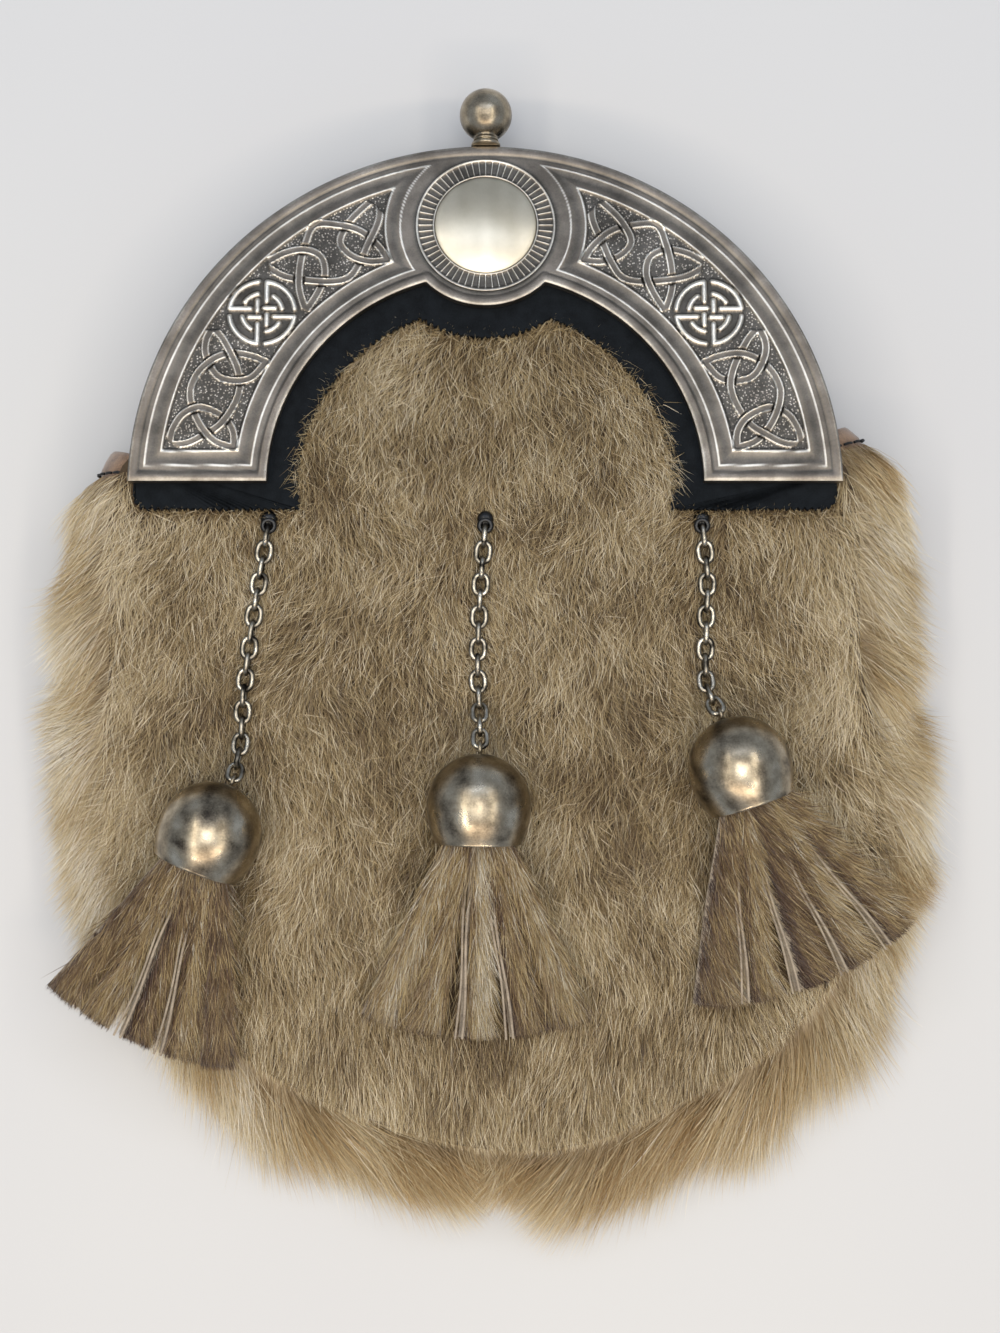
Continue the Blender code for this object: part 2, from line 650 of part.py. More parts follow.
def make_front(finish):
    """The front panel: a crowned sheet whose upper part leans back under the metal top."""
    mesh_data = bmesh.new()
    steps = 30
    shares = (0.45, 0.8, 1.0)
    sheets = []
    for drop in (0.0, FRONT_THICKNESS):
        centre = mesh_data.verts.new((0.0, OUTLINE_CENTRE_Y, front_height(0.0, OUTLINE_CENTRE_Y) - drop))
        rings = []
        for share in shares:
            points = []
            for step in range(steps):
                angle = -math.pi + 2.0 * math.pi * (step + 0.5) / steps
                edge = outline_point(angle, FRONT_ARCH)
                x, y = edge.x * share, mix(OUTLINE_CENTRE_Y, edge.y, share)
                points.append((x, y, front_height(x, y) - drop))
            rings.append(ring_of(mesh_data, points))
        for step in range(steps):
            mesh_data.faces.new((centre, rings[0][step], rings[0][(step + 1) % steps]))
        bridge_rings(mesh_data, rings)
        sheets.append(rings)
    bridge_rings(mesh_data, [sheets[0][-1], sheets[1][-1]])
    return new_object("front_panel", mesh_data, finish, smooth_angle=math.radians(40.0))


def make_back(finish):
    """The flat back with its two strap slots."""
    steps = 36
    angles = [-math.pi + 2.0 * math.pi * (step + 0.5) / steps for step in range(steps)]
    points = [outline_point(angle, BACK_ARCH, -BACK_MARGIN) for angle in angles]
    back = prism(points, 0.0, BACK_THICKNESS, "back_panel")
    back.data.materials.append(finish)
    half_length, half_width = SLOT_LENGTH / 2.0 - SLOT_WIDTH / 2.0, SLOT_WIDTH / 2.0
    for side in (-1.0, 1.0):
        right = arc((side * SLOT_X + half_length, SLOT_Y), half_width, -math.pi / 2.0, math.pi / 2.0, 3)
        left = arc((side * SLOT_X - half_length, SLOT_Y), half_width, math.pi / 2.0, 1.5 * math.pi, 3)
        combine(back, prism(right + left, -BACK_THICKNESS, 2.0 * BACK_THICKNESS), "DIFFERENCE")
    return back


def gusset_point(angle, share, offset):
    """Point of the gusset's middle surface moved out by offset: share 0 is at the front, 1 at the back."""
    edge = outline_point(angle, FRONT_ARCH)
    step = 0.01
    run = outline_point(angle + step, FRONT_ARCH) - outline_point(angle - step, FRONT_ARCH)
    outward = Vector((run.y, -run.x)).normalized()
    if outward.dot(edge - Vector((0.0, OUTLINE_CENTRE_Y))) < 0.0:
        outward = -outward
    top = front_height(edge.x, edge.y) - FRONT_THICKNESS - 2.0 * SEAT_GAP
    bottom = BACK_THICKNESS + SEAT_GAP
    slope_out = GUSSET_BULGE * math.pi * math.cos(math.pi * share)
    slope_down = bottom - top
    length = math.hypot(slope_out, slope_down)
    out = -GUSSET_INSET + GUSSET_BULGE * math.sin(math.pi * share) + offset * -slope_down / length
    height = mix(top, bottom, share) + offset * slope_out / length
    height = min(top, max(bottom, height))
    point = edge + outward * out
    return Vector((point.x, point.y, height)), outward


def hem_angle():
    """Angle about the outline's centre that a hem takes up."""
    return HEM_LENGTH / outline_reach(GUSSET_TOP_RIGHT, FRONT_ARCH)


def gusset_angles():
    """Angles of the gusset's sections between its two hems."""
    start, end = -GUSSET_TOP_LEFT + hem_angle() * HEM_MARGIN, GUSSET_TOP_RIGHT - hem_angle() * HEM_MARGIN
    return [mix(start, end, step / GUSSET_STEPS) for step in range(GUSSET_STEPS + 1)]


def make_gusset(finish):
    """The bulging wall round the sides and the bottom, with a thicker folded hem at each top."""
    mesh_data = bmesh.new()
    hem = hem_angle()
    sections = [(-GUSSET_TOP_LEFT, HEM_THICKNESS), (-GUSSET_TOP_LEFT + hem, HEM_THICKNESS)]
    sections += [(angle, GUSSET_THICKNESS) for angle in gusset_angles()]
    sections += [(GUSSET_TOP_RIGHT - hem, HEM_THICKNESS), (GUSSET_TOP_RIGHT, HEM_THICKNESS)]
    rings = []
    for angle, thickness in sections:
        outer = [gusset_point(angle, share, thickness / 2.0)[0] for share in GUSSET_SHARES]
        inner = [gusset_point(angle, share, -thickness / 2.0)[0] for share in reversed(GUSSET_SHARES)]
        rings.append(ring_of(mesh_data, outer + inner))
    bridge_rings(mesh_data, rings)
    mesh_data.faces.new(rings[0])
    mesh_data.faces.new(rings[-1])
    return new_object("gusset", mesh_data, finish, smooth_angle=math.radians(45.0))


def make_gusset_fur(finish):
    """The fur round the gusset: locks that stand out and sweep towards the bottom, on one backing."""
    mesh_data = bmesh.new()
    inner_offset = GUSSET_THICKNESS / 2.0 + SEAT_GAP
    backings = []
    for angle in gusset_angles():
        row = [gusset_point(angle, share, inner_offset)[0] for share in GUSSET_SHARES]
        low_share = (row[2].z - FUR_UNDERSIDE) / (row[2].z - row[3].z)
        row[3] = row[2].lerp(row[3], low_share)
        backings.append((angle, row))
    columns = []
    for (angle, row), (next_angle, next_row) in zip(backings, backings[1:]):
        columns.append((angle, row, -FUR_LOCK))
        between = [first.lerp(second, 0.5) for first, second in zip(row, next_row)]
        columns.append((mix(angle, next_angle, 0.5), between, FUR_LOCK))
    columns.append((*backings[-1], -FUR_LOCK))
    rings = []
    for angle, row, lock in columns:
        combed = angle - angle * FUR_COMB
        outward = gusset_point(combed, 0.5, 0.0)[1]
        edge = outline_point(combed, FRONT_ARCH)
        middle = outline_point((angle + combed) / 2.0, FRONT_ARCH)
        root = row[0] + Vector((*outward, 0.0)) * FUR_ROOT
        crest_height = mix(root.z, FUR_TIP_HEIGHT, FUR_CREST_DROP) + lock * FUR_LOCK_RISE
        crest_reach = FUR_REACH * FUR_CREST_REACH + lock * FUR_LOCK_RISE
        crest = Vector((*(middle + outward * crest_reach), crest_height))
        tip = Vector((*(edge + outward * (FUR_REACH + lock)), FUR_TIP_HEIGHT + lock * FUR_LOCK_RISE))
        belly = Vector((*(middle + outward * FUR_REACH * FUR_BELLY_REACH), FUR_UNDERSIDE))
        rings.append(ring_of(mesh_data, row + [belly, tip, crest, root]))
    bridge_rings(mesh_data, rings)
    mesh_data.faces.new(rings[0])
    mesh_data.faces.new(rings[-1])
    return new_object("gusset_fur", mesh_data, finish)


def smooth_route(rows, steps=12):
    """Points along a smooth curve through the rows, with a straight run added after the last one."""
    points = [Vector(row) for row in rows]
    run = points[-1] - points[-2]
    points.append(points[-1] + run * ROUTE_RUN_ON)
    curve = []
    for index in range(len(points) - 1):
        first, second = points[index], points[index + 1]
        before = points[max(index - 1, 0)]
        after = points[min(index + 2, len(points) - 1)]
        for step in range(steps):
            share = step / steps
            square, cube = share * share, share ** 3
            place = first * (2.0 * cube - 3.0 * square + 1.0) + second * (3.0 * square - 2.0 * cube)
            place += (second - before) * 0.5 * (cube - 2.0 * square + share)
            place += (after - first) * 0.5 * (cube - square)
            curve.append(place)
    return curve


def point_at(curve, distance):
    """Place and direction at a distance along a curve."""
    left = distance
    for first, second in zip(curve, curve[1:]):
        length = (second - first).length
        if left <= length:
            return first.lerp(second, left / length), (second - first).normalized()
        left -= length
    raise ValueError("a chain is longer than its route")


def eye_centre(side):
    """Centre of the ring of a chain's eye."""
    x = side * EYE_SPACING
    lift = SEAT_GAP + LINK_HALF_WIDTH + WIRE_RADIUS
    return Vector((x, EYE_Y, front_height(x, EYE_Y) + lift))


def chain_curve(name):
    """The chain's route in the pouch's frame: it lies on the front and rises to its cap."""
    eye = eye_centre(HANGERS[name]["side"])
    lying = SEAT_GAP + LINK_HALF_WIDTH + WIRE_RADIUS
    rows = []
    for across, along, rise in CHAIN_ROUTES[name]:
        x, y = eye.x + across, eye.y + along
        rows.append((x, y, front_height(x, y) + lying + rise))
    return smooth_route(rows)


def link_pitch():
    """Distance between the centres of linked links, which bite into each other a little."""
    return 2.0 * (LINK_HALF_LENGTH - WIRE_RADIUS) + LINK_BITE


def cross_directions(direction):
    """Sideways and upward directions square to a direction."""
    across = direction.cross(Vector((0.0, 0.0, 1.0))).normalized()
    return across, across.cross(direction).normalized()


def make_eye(name, finish):
    """The black eye that a chain hangs from: a stud on the front with a ring out of its lower side."""
    centre = eye_centre(HANGERS[name]["side"])
    stud_y = EYE_Y + EYE_RING_RADIUS + EYE_STUD_RADIUS * EYE_STUD_SHARE
    base = front_height(centre.x, stud_y) + SEAT_GAP
    profile = [(0.0, 0.0), (EYE_STUD_RADIUS, 0.0), (EYE_STUD_RADIUS, EYE_STUD_HEIGHT * 0.6),
               (EYE_STUD_RADIUS * 0.7, EYE_STUD_HEIGHT * 0.92), (0.0, EYE_STUD_HEIGHT)]
    eye = turned(profile, 7, finish, "chain_eye_" + name)
    eye.data.transform(Matrix.Translation((centre.x, stud_y, base)))
    along, across = Vector((0.0, -1.0, 0.0)), Vector((1.0, 0.0, 0.0))
    height = Vector((centre.x, EYE_Y, centre.z))
    ring = wire_ring(height, along, across, EYE_RING_RADIUS, EYE_RING_RADIUS, EYE_WIRE_RADIUS)
    combine(eye, new_object("ring", ring))
    return eye


def make_chain(name, finish):
    """A cable chain: flat and upright links in turn, fused where they bite. Gives its ring place."""
    curve = chain_curve(name)
    first = EYE_RING_RADIUS + LINK_HALF_LENGTH - EYE_WIRE_RADIUS - WIRE_RADIUS - LINK_CLEARANCE
    meshes = [bmesh.new(), bmesh.new()]
    count = HANGERS[name]["links"]
    for index in range(count):
        place, direction = point_at(curve, first + index * link_pitch())
        across, upward = cross_directions(direction)
        wide = across if index % 2 else upward
        ring = wire_ring(place, direction, wide, LINK_HALF_LENGTH, LINK_HALF_WIDTH, WIRE_RADIUS)
        part = bpy.data.meshes.new("link")
        ring.to_mesh(part)
        ring.free()
        meshes[index % 2].from_mesh(part)
        bpy.data.meshes.remove(part)
    chain = new_object("chain_" + name, meshes[0], finish)
    combine(chain, new_object("odd_links", meshes[1]))
    chain.data.shade_smooth()
    last = first + (count - 1) * link_pitch()
    reach = LINK_HALF_LENGTH + CAP_RING_RADIUS - 2.0 * WIRE_RADIUS - LINK_CLEARANCE
    return point_at(curve, last + reach)[0]


def cap_frame(name, ring_place):
    """Place and directions of a cap: it lies on the front, its crown towards its ring."""
    turn = HANGERS[name]["turn"]
    down = Vector((math.sin(turn), -math.cos(turn), 0.0))
    reach = CAP_RADIUS + CAP_RING_RADIUS - WIRE_RADIUS * RING_SINK_SHARE
    centre = ring_place + down * reach
    for _ in range(4):
        height = lying_height(centre.x, centre.y) + CAP_RADIUS + SEAT_GAP * 2.0
        level = math.sqrt(max(0.0, reach ** 2 - (height - ring_place.z) ** 2))
        centre = Vector((ring_place.x + down.x * level, ring_place.y + down.y * level, height))
    return centre, down


def lying_height(x, y):
    """Height of what a tassel lies on: the front, and beyond its seam the falling fur."""
    offset = Vector((x, y - OUTLINE_CENTRE_Y))
    angle = math.atan2(offset.x, -offset.y)
    beyond = max(0.0, offset.length - outline_reach(angle, FRONT_ARCH))
    return front_height(x, y) - beyond * FALL_BEYOND_SEAM


def make_cap(name, finish, ring_place):
    """A hollow dome with a ring on its crown."""
    centre, down = cap_frame(name, ring_place)
    outer = []
    for step in range(1, 4):
        angle = math.pi / 2.0 * step / 3.0
        outer.append((CAP_RADIUS * math.sin(angle), -CAP_RADIUS * math.cos(angle)))
    outer.append((mix(CAP_RADIUS, CAP_RIM_RADIUS, CAP_SHOULDER_SHARE / 2.0), CAP_SKIRT * CAP_SHOULDER_SHARE))
    outer.append((CAP_RIM_RADIUS, CAP_SKIRT))
    inner_radius = CAP_RADIUS - CAP_WALL
    inner = [(CAP_RIM_RADIUS - CAP_WALL, CAP_SKIRT), (inner_radius * 0.96, 0.0)]
    inner += [(inner_radius * 0.7, -inner_radius * 0.7)]
    profile = [(0.0, -CAP_RADIUS)] + outer + inner + [(0.0, -inner_radius)]
    cap = turned(profile, CAP_STEPS, finish, "tassel_cap_" + name)
    across, upward = cross_directions(down)
    frame = Matrix((across, upward, down)).transposed().to_4x4()
    cap.data.transform(Matrix.Translation(centre) @ frame)
    toward = (centre - ring_place).normalized()
    sideways = toward.cross(Vector((0.0, 0.0, 1.0))).normalized()
    if HANGERS[name]["links"] % 2 == 0:
        sideways = toward.cross(sideways).normalized()
    ring = wire_ring(ring_place, toward, sideways, CAP_RING_RADIUS, CAP_RING_RADIUS, WIRE_RADIUS)
    combine(cap, new_object("ring", ring))
    cap.data.shade_smooth()
    cap.data.set_sharp_from_angle(angle=math.radians(50.0))
    return centre, down


def make_tassel(name, finish, centre, down):
    """A bundle of strips in two layers, fanned out on the fur and fused to a head inside the cap."""
    across, upward = cross_directions(down)
    mouth = centre + down * CAP_SKIRT
    head_radius = CAP_RIM_RADIUS - CAP_WALL - SEAT_GAP
    head = turned([(0.0, -HEAD_LENGTH), (head_radius, -HEAD_LENGTH), (head_radius, STRIP_THICKNESS),
                   (0.0, STRIP_THICKNESS)], 12, finish, "tassel_" + name)
    frame = Matrix((across, upward, down)).transposed().to_4x4()
    head.data.transform(Matrix.Translation(mouth) @ frame)
    spread = HANGERS[name]["spread"]
    for count, layer in ((3, 0), (5, 1)):
        for index in range(count):
            share = 2.0 * index / (count - 1) - 1.0
            if layer == 0:
                share *= LOWER_SPREAD_SHARE
            combine(head, make_strip(mouth, down, across, share, spread, layer, head_radius))
    return head


def make_strip(mouth, down, across, share, spread, layer, head_radius):
    """One strip: it leaves the mouth, falls onto what it lies on, and widens to its cut end."""
    mesh_data = bmesh.new()
    angle = share * spread
    direction = down * math.cos(angle) + across * math.sin(angle)
    sideways = across * math.cos(angle) - down * math.sin(angle)
    start = mouth + across * share * head_radius * STRIP_START_SHARE - down * STRIP_THICKNESS
    start_height = mouth.z + head_radius * (UPPER_START_SHARE if layer else LOWER_START_SHARE)
    rings = []
    for way in (0.0, 0.3, 0.6, 0.8, 1.0):
        middle = start + direction * STRIP_LENGTH * way
        rest = lying_height(middle.x, middle.y) + NAP + STRIP_THICKNESS / 2.0 + layer * LAYER_RISE
        height = max(rest, mix(start_height, rest, smooth_step(0.0, LAID_SHARE, way)))
        half_width = mix(STRIP_ROOT_WIDTH, STRIP_END_WIDTH, way) / 2.0
        half = STRIP_THICKNESS / 2.0
        corners = []
        for side, rise in ((-1.0, -half), (1.0, -half), (1.0, half), (-1.0, half)):
            corner = middle + sideways * side * half_width
            corners.append((corner.x, corner.y, height + rise))
        rings.append(ring_of(mesh_data, corners))
    bridge_rings(mesh_data, rings)
    mesh_data.faces.new(rings[0])
    mesh_data.faces.new(rings[-1])
    return new_object("strip", mesh_data)


def build():
    """Makes the whole pouch."""
    for old in list(bpy.data.objects):
        bpy.data.objects.remove(old)
    metal = material("antiqued_silver", (0.46, 0.43, 0.39), 1.0, 0.35)
    chain_metal = material("darkened_silver", (0.42, 0.40, 0.36), 1.0, 0.3)
    eye_black = material("black_lacquer", (0.01, 0.01, 0.012), 0.0, 0.3)
    flap_black = material("black_felted_leather", (0.012, 0.013, 0.016), 0.0, 0.85)
    back_black = material("black_leather", (0.014, 0.014, 0.015), 0.0, 0.5)
    hide = material("brown_hide", (0.22, 0.15, 0.11), 0.0, 0.8)
    front_fur = material("taupe_fur", (0.30, 0.23, 0.14), 0.0, 0.8)
    side_fur = material("cream_fur", (0.46, 0.36, 0.22), 0.0, 0.8)
    plane = bpy.data.objects.new("cantle_plane", None)
    bpy.context.scene.collection.objects.link(plane)
    plane.location = (0.0, CANTLE_BASE_Y, POUCH_DEPTH)
    plane.rotation_euler = (-CANTLE_TILT, 0.0, 0.0)
    bpy.context.view_layer.update()
    make_back(back_black)
    make_gusset(hide)
    make_gusset_fur(side_fur)
    make_front(front_fur)
    make_flap(flap_black, plane)
    make_cantle(metal, plane)
    make_finial(metal, plane)
    for name in HANGERS:
        make_eye(name, eye_black)
        ring_place = make_chain(name, chain_metal)
        centre, down = make_cap(name, metal, ring_place)
        make_tassel(name, side_fur, centre, down)


build()
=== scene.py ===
"""Looks of the sporran pouch: fur, hide, antiqued metal, chains and tassels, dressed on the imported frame."""

import logging
import math
from dataclasses import dataclass
from enum import Enum
from typing import Any, Sequence

import bmesh
import bpy
import numpy as np
from mathutils import Matrix, Vector


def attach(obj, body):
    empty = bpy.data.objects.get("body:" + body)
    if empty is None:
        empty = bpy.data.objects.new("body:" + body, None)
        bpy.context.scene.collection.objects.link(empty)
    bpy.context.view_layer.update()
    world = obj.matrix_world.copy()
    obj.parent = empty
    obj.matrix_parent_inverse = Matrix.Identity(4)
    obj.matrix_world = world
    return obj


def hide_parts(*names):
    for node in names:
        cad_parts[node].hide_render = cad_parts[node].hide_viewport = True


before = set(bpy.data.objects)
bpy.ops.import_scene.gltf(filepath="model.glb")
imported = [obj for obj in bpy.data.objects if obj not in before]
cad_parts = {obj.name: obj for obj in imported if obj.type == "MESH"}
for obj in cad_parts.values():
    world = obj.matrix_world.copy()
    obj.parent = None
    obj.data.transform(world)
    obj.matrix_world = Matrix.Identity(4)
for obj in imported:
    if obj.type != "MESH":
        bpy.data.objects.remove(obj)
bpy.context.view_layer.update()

logging.basicConfig(level=logging.INFO, format="%(message)s")
LOG = logging.getLogger("sporran")
MM = 0.001
FULL_TURN = 2.0 * math.pi
UP = np.array([0.0, 0.0, 1.0])
SHARED_BODY = "root"


# Small helpers


def linear(code: str) -> tuple[float, float, float, float]:
    """Turns an sRGB hex colour to linear.

    Args:
        code: six hex digits after a hash.

    Returns:
        Linear red, green, blue and an alpha of one.
    """
    parts = [int(code[start:start + 2], 16) / 255.0 for start in (1, 3, 5)]
    return (*[part / 12.92 if part <= 0.04045 else ((part + 0.055) / 1.055) ** 2.4 for part in parts], 1.0)


def smooth_step(low: float, high: float, value: np.ndarray | float) -> np.ndarray | float:
    """Gives 0 below low, 1 above high, and a smooth rise between them."""
    share = np.clip((value - low) / (high - low), 0.0, 1.0)
    return share * share * (3.0 - 2.0 * share)


def mix(first: Any, second: Any, share: Any) -> Any:
    """Gives the value a share of the way from the first to the second."""
    return first + (second - first) * share


def unit(vectors: np.ndarray) -> np.ndarray:
    """Scales each row to length one."""
    return vectors / np.maximum(np.linalg.norm(vectors, axis=-1, keepdims=True), 1e-9)


def bell(distance: np.ndarray, width: float) -> np.ndarray:
    """A smooth bump of height one round zero, of that width."""
    return np.exp(-(distance / width) ** 2)


def places(*parts: Any) -> np.ndarray:
    """Puts coordinates together into points, one a row."""
    return np.stack(np.broadcast_arrays(*parts), axis=-1)


def curve_point(keys: Sequence[Any], slopes: Sequence[Any], share: float) -> Any:
    """A point of a smooth curve between two keys.

    Args:
        keys: the two keys.
        slopes: the curve's slopes at them.
        share: share of the way from the first key to the second.

    Returns:
        The point.
    """
    square, cube = share * share, share ** 3
    return (keys[0] * (2.0 * cube - 3.0 * square + 1.0) + slopes[0] * (cube - 2.0 * square + share)
            + keys[1] * (3.0 * square - 2.0 * cube) + slopes[1] * (cube - square))


def ripples(x: np.ndarray, y: np.ndarray, size: float, seed: int) -> np.ndarray:
    """A smooth field of soft patches.

    Args:
        x: places along X in metres.
        y: places along Y in metres.
        size: usual size of a patch in metres.
        seed: which field.

    Returns:
        Values mostly from -1 to 1.
    """
    draw = np.random.default_rng(seed)
    total = np.zeros_like(x)
    count = 7
    for _ in range(count):
        turn = draw.uniform(0.0, FULL_TURN)
        wave = math.pi / size * draw.uniform(0.6, 1.5)
        phase = draw.uniform(0.0, FULL_TURN)
        total += np.sin((x * math.cos(turn) + y * math.sin(turn)) * wave + phase)
    return total / math.sqrt(count)


def feed(tree: bpy.types.NodeTree, node: bpy.types.Node, links: dict[str | int, Any]) -> None:
    """Sets a node's inputs.

    Args:
        tree: the node tree.
        node: the node.
        links: input name or number to a value, or to the socket that feeds it.
    """
    for name, value in links.items():
        if isinstance(value, bpy.types.NodeSocket):
            tree.links.new(value, node.inputs[name])
        else:
            node.inputs[name].default_value = value


def add_node(tree: bpy.types.NodeTree, kind: str, settings: dict[str, Any], links: dict[str | int, Any],
             output: str | int = 0) -> bpy.types.NodeSocket:
    """Adds a node with its settings and links.

    Args:
        tree: the node tree.
        kind: what follows ShaderNode in the node's type name.
        settings: attributes of the node, and as stops the places and hex colours of its ramp.
        links: input name or number to a value, or to the socket that feeds it.
        output: name or number of the output that is wanted.

    Returns:
        That output's socket.
    """
    node = tree.nodes.new("ShaderNode" + kind)
    for name, value in settings.items():
        if name != "stops":
            setattr(node, name, value)
            continue
        elements = node.color_ramp.elements
        while len(elements) < len(value):
            elements.new(0.5)
        for element, (place, code) in zip(elements, value):
            element.position, element.color = place, linear(code)
    feed(tree, node, links)
    return node.outputs[output]


def new_material(name: str) -> tuple[bpy.types.Material, bpy.types.NodeTree, bpy.types.Node]:
    """Makes a material and gives it, its tree and its Principled shader."""
    made = bpy.data.materials.new(name)
    made.use_nodes = True
    return made, made.node_tree, made.node_tree.nodes["Principled BSDF"]


def add_object(name: str, data: bpy.types.ID) -> bpy.types.Object:
    """Puts data into the scene as an object of that name."""
    made = bpy.data.objects.new(name, data)
    bpy.context.scene.collection.objects.link(made)
    return made


def mesh_piece(name: str, points: np.ndarray, faces: np.ndarray, values: dict[str, np.ndarray] | None = None,
               palette: tuple[np.ndarray, np.ndarray] | None = None, smooth: bool = True) -> bpy.types.Object:
    """Makes a mesh piece from arrays.

    Args:
        name: name of the piece.
        points: places of the vertices, in metres.
        faces: vertex numbers, three or four a face.
        values: named values for each vertex, which materials read.
        palette: two values for each vertex that place it on a chart of its colours, in a UV map.
        smooth: whether it is shaded smooth.

    Returns:
        The new object.
    """
    mesh = bpy.data.meshes.new(name)
    points = points.reshape(-1, 3)
    count, corners = faces.shape
    mesh.vertices.add(len(points))
    mesh.vertices.foreach_set("co", np.ascontiguousarray(points, np.float32).ravel())
    mesh.loops.add(count * corners)
    mesh.loops.foreach_set("vertex_index", np.ascontiguousarray(faces, np.int32).ravel())
    mesh.polygons.add(count)
    mesh.polygons.foreach_set("loop_start", np.arange(count, dtype=np.int32) * corners)
    mesh.update(calc_edges=True)
    if smooth:
        mesh.shade_smooth()
    for key, value in (values or {}).items():
        layer = mesh.attributes.new(key, "FLOAT", "POINT")
        layer.data.foreach_set("value", np.ascontiguousarray(value, np.float32))
    if palette is not None:
        chart = mesh.uv_layers.new(name="OFBake")
        both = places(*[part[faces.ravel()] for part in palette])
        chart.data.foreach_set("uv", np.ascontiguousarray(np.clip(both, 0.002, 0.998), np.float32).ravel())
    return add_object(name, mesh)


def grid_faces(rows: int, columns: int, closed: bool = False) -> np.ndarray:
    """Quads of a grid of vertices laid out row by row.

    Args:
        rows: number of rows.
        columns: vertices in a row.
        closed: whether a row's end meets its start.

    Returns:
        The faces.
    """
    across = np.arange(columns if closed else columns - 1)
    here = np.arange(rows - 1)[:, None] * columns
    after, below = (across + 1) % columns, here + columns
    return np.stack([here + across, here + after, below + after, below + across], axis=-1).reshape(-1, 4)


def rod_faces(rows: int, around: int) -> np.ndarray:
    """Quads of a flat rod: its sides, and its two ends filled from one edge to the other.

    Args:
        rows: number of rings of vertices.
        around: vertices in a ring, an even number.

    Returns:
        The faces.
    """
    ends = [(start + step, start + step + 1, start + around - 2 - step, start + around - 1 - step)
            for start in (0, (rows - 1) * around) for step in range(around // 2 - 1)]
    return np.concatenate([grid_faces(rows, around, closed=True), np.array(ends)])


def dress(piece: bpy.types.Object, finish: bpy.types.Material, slot: str, *replaced: str) -> None:
    """Gives a piece its finish and body.

    Args:
        piece: the piece.
        finish: its material.
        slot: the record's slot that the finish is of; not used.
        replaced: nodes that the piece stands for.
    """
    piece.data.materials.clear()
    piece.data.materials.append(finish)
    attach(piece, SHARED_BODY)
    if replaced:
        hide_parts(*replaced)
    LOG.info("%s: %d faces", piece.name, len(piece.data.polygons))


def tube(name: str, path: np.ndarray, radius: float, sides: int, closed: bool = False) -> bpy.types.Object:
    """A round wire or thread along a path.

    Args:
        name: name of the piece.
        path: the middle line.
        radius: half its thickness.
        sides: vertices round it.
        closed: whether the path's end meets its start.

    Returns:
        The tube.
    """
    count = len(path)
    run = unit(np.roll(path, -1, axis=0) - np.roll(path, 1, axis=0) if closed else np.gradient(path, axis=0))
    spread = np.linalg.svd(path - path.mean(axis=0))[2][-1] if count > 3 else UP
    normal = unit(np.cross(np.cross(run, spread), run))
    side = np.cross(run, normal)
    turns = np.linspace(0.0, FULL_TURN, sides, endpoint=False)
    rings = path[:, None] + radius * (normal[:, None] * np.cos(turns)[None, :, None]
                                      + side[:, None] * np.sin(turns)[None, :, None])
    faces = grid_faces(count + 1 if closed else count, sides, closed=True) % (count * sides)
    return mesh_piece(name, rings, faces)


def join(name: str, pieces: Sequence[bpy.types.Object]) -> bpy.types.Object:
    """Joins pieces into one mesh.

    Args:
        name: name of the whole.
        pieces: the pieces, which are used up.

    Returns:
        The whole.
    """
    whole = bmesh.new()
    for piece in pieces:
        whole.from_mesh(piece.data)
        bpy.data.objects.remove(piece)
    mesh = bpy.data.meshes.new(name)
    whole.to_mesh(mesh)
    whole.free()
    mesh.shade_smooth()
    return add_object(name, mesh)


def revolve(name: str, profile: Sequence[tuple[float, float]], steps: int) -> bpy.types.Object:
    """Turns a profile about Z.

    Args:
        name: name of the piece.
        profile: pairs of radius and height.
        steps: vertices round it.

    Returns:
        The turned piece.
    """
    turns = np.linspace(0.0, FULL_TURN, steps, endpoint=False)
    shape = np.array(profile)
    rings = places(shape[:, 0:1] * np.cos(turns), shape[:, 0:1] * np.sin(turns), shape[:, 1:2])
    made = mesh_piece(name, rings, grid_faces(len(shape), steps, closed=True))
    whole = bmesh.new()
    whole.from_mesh(made.data)
    bmesh.ops.remove_doubles(whole, verts=whole.verts[:], dist=1e-7)
    bmesh.ops.dissolve_degenerate(whole, edges=whole.edges[:], dist=1e-8)
    bmesh.ops.recalc_face_normals(whole, faces=whole.faces[:])
    whole.to_mesh(made.data)
    whole.free()
    made.data.shade_smooth()
    return made


def set_wear_and_shade(piece: bpy.types.Object, level: float, spread: float, size: float, seed: int,
             on_top: float = 0.0) -> None:
    """Gives a metal piece its wear, and with on_top a painted highlight on what faces up and painted shade on what
    faces down.

    Args:
        piece: the piece.
        level: usual wear.
        spread: how much soft patches differ from it.
        size: size of the patches in metres.
        seed: which patches.
        on_top: how much brighter what faces up is, and darker what faces down: painted highlight and painted shade.
    """
    read = {}
    for key in ("co", "normal"):
        read[key] = np.zeros(len(piece.data.vertices) * 3)
        piece.data.vertices.foreach_get(key, read[key])
    points, normals = (read[key].reshape(-1, 3) for key in ("co", "normal"))
    # Painted light: on_top lightens the faces that point up and darkens those that point down.
    wear = level + spread * ripples(points[:, 0], points[:, 1] + points[:, 2], size, seed) + on_top * normals[:, 2]
    layer = piece.data.attributes.new("wear", "FLOAT", "POINT")
    layer.data.foreach_set("value", np.clip(wear, 0.0, 1.0).astype(np.float32))


# Finishes


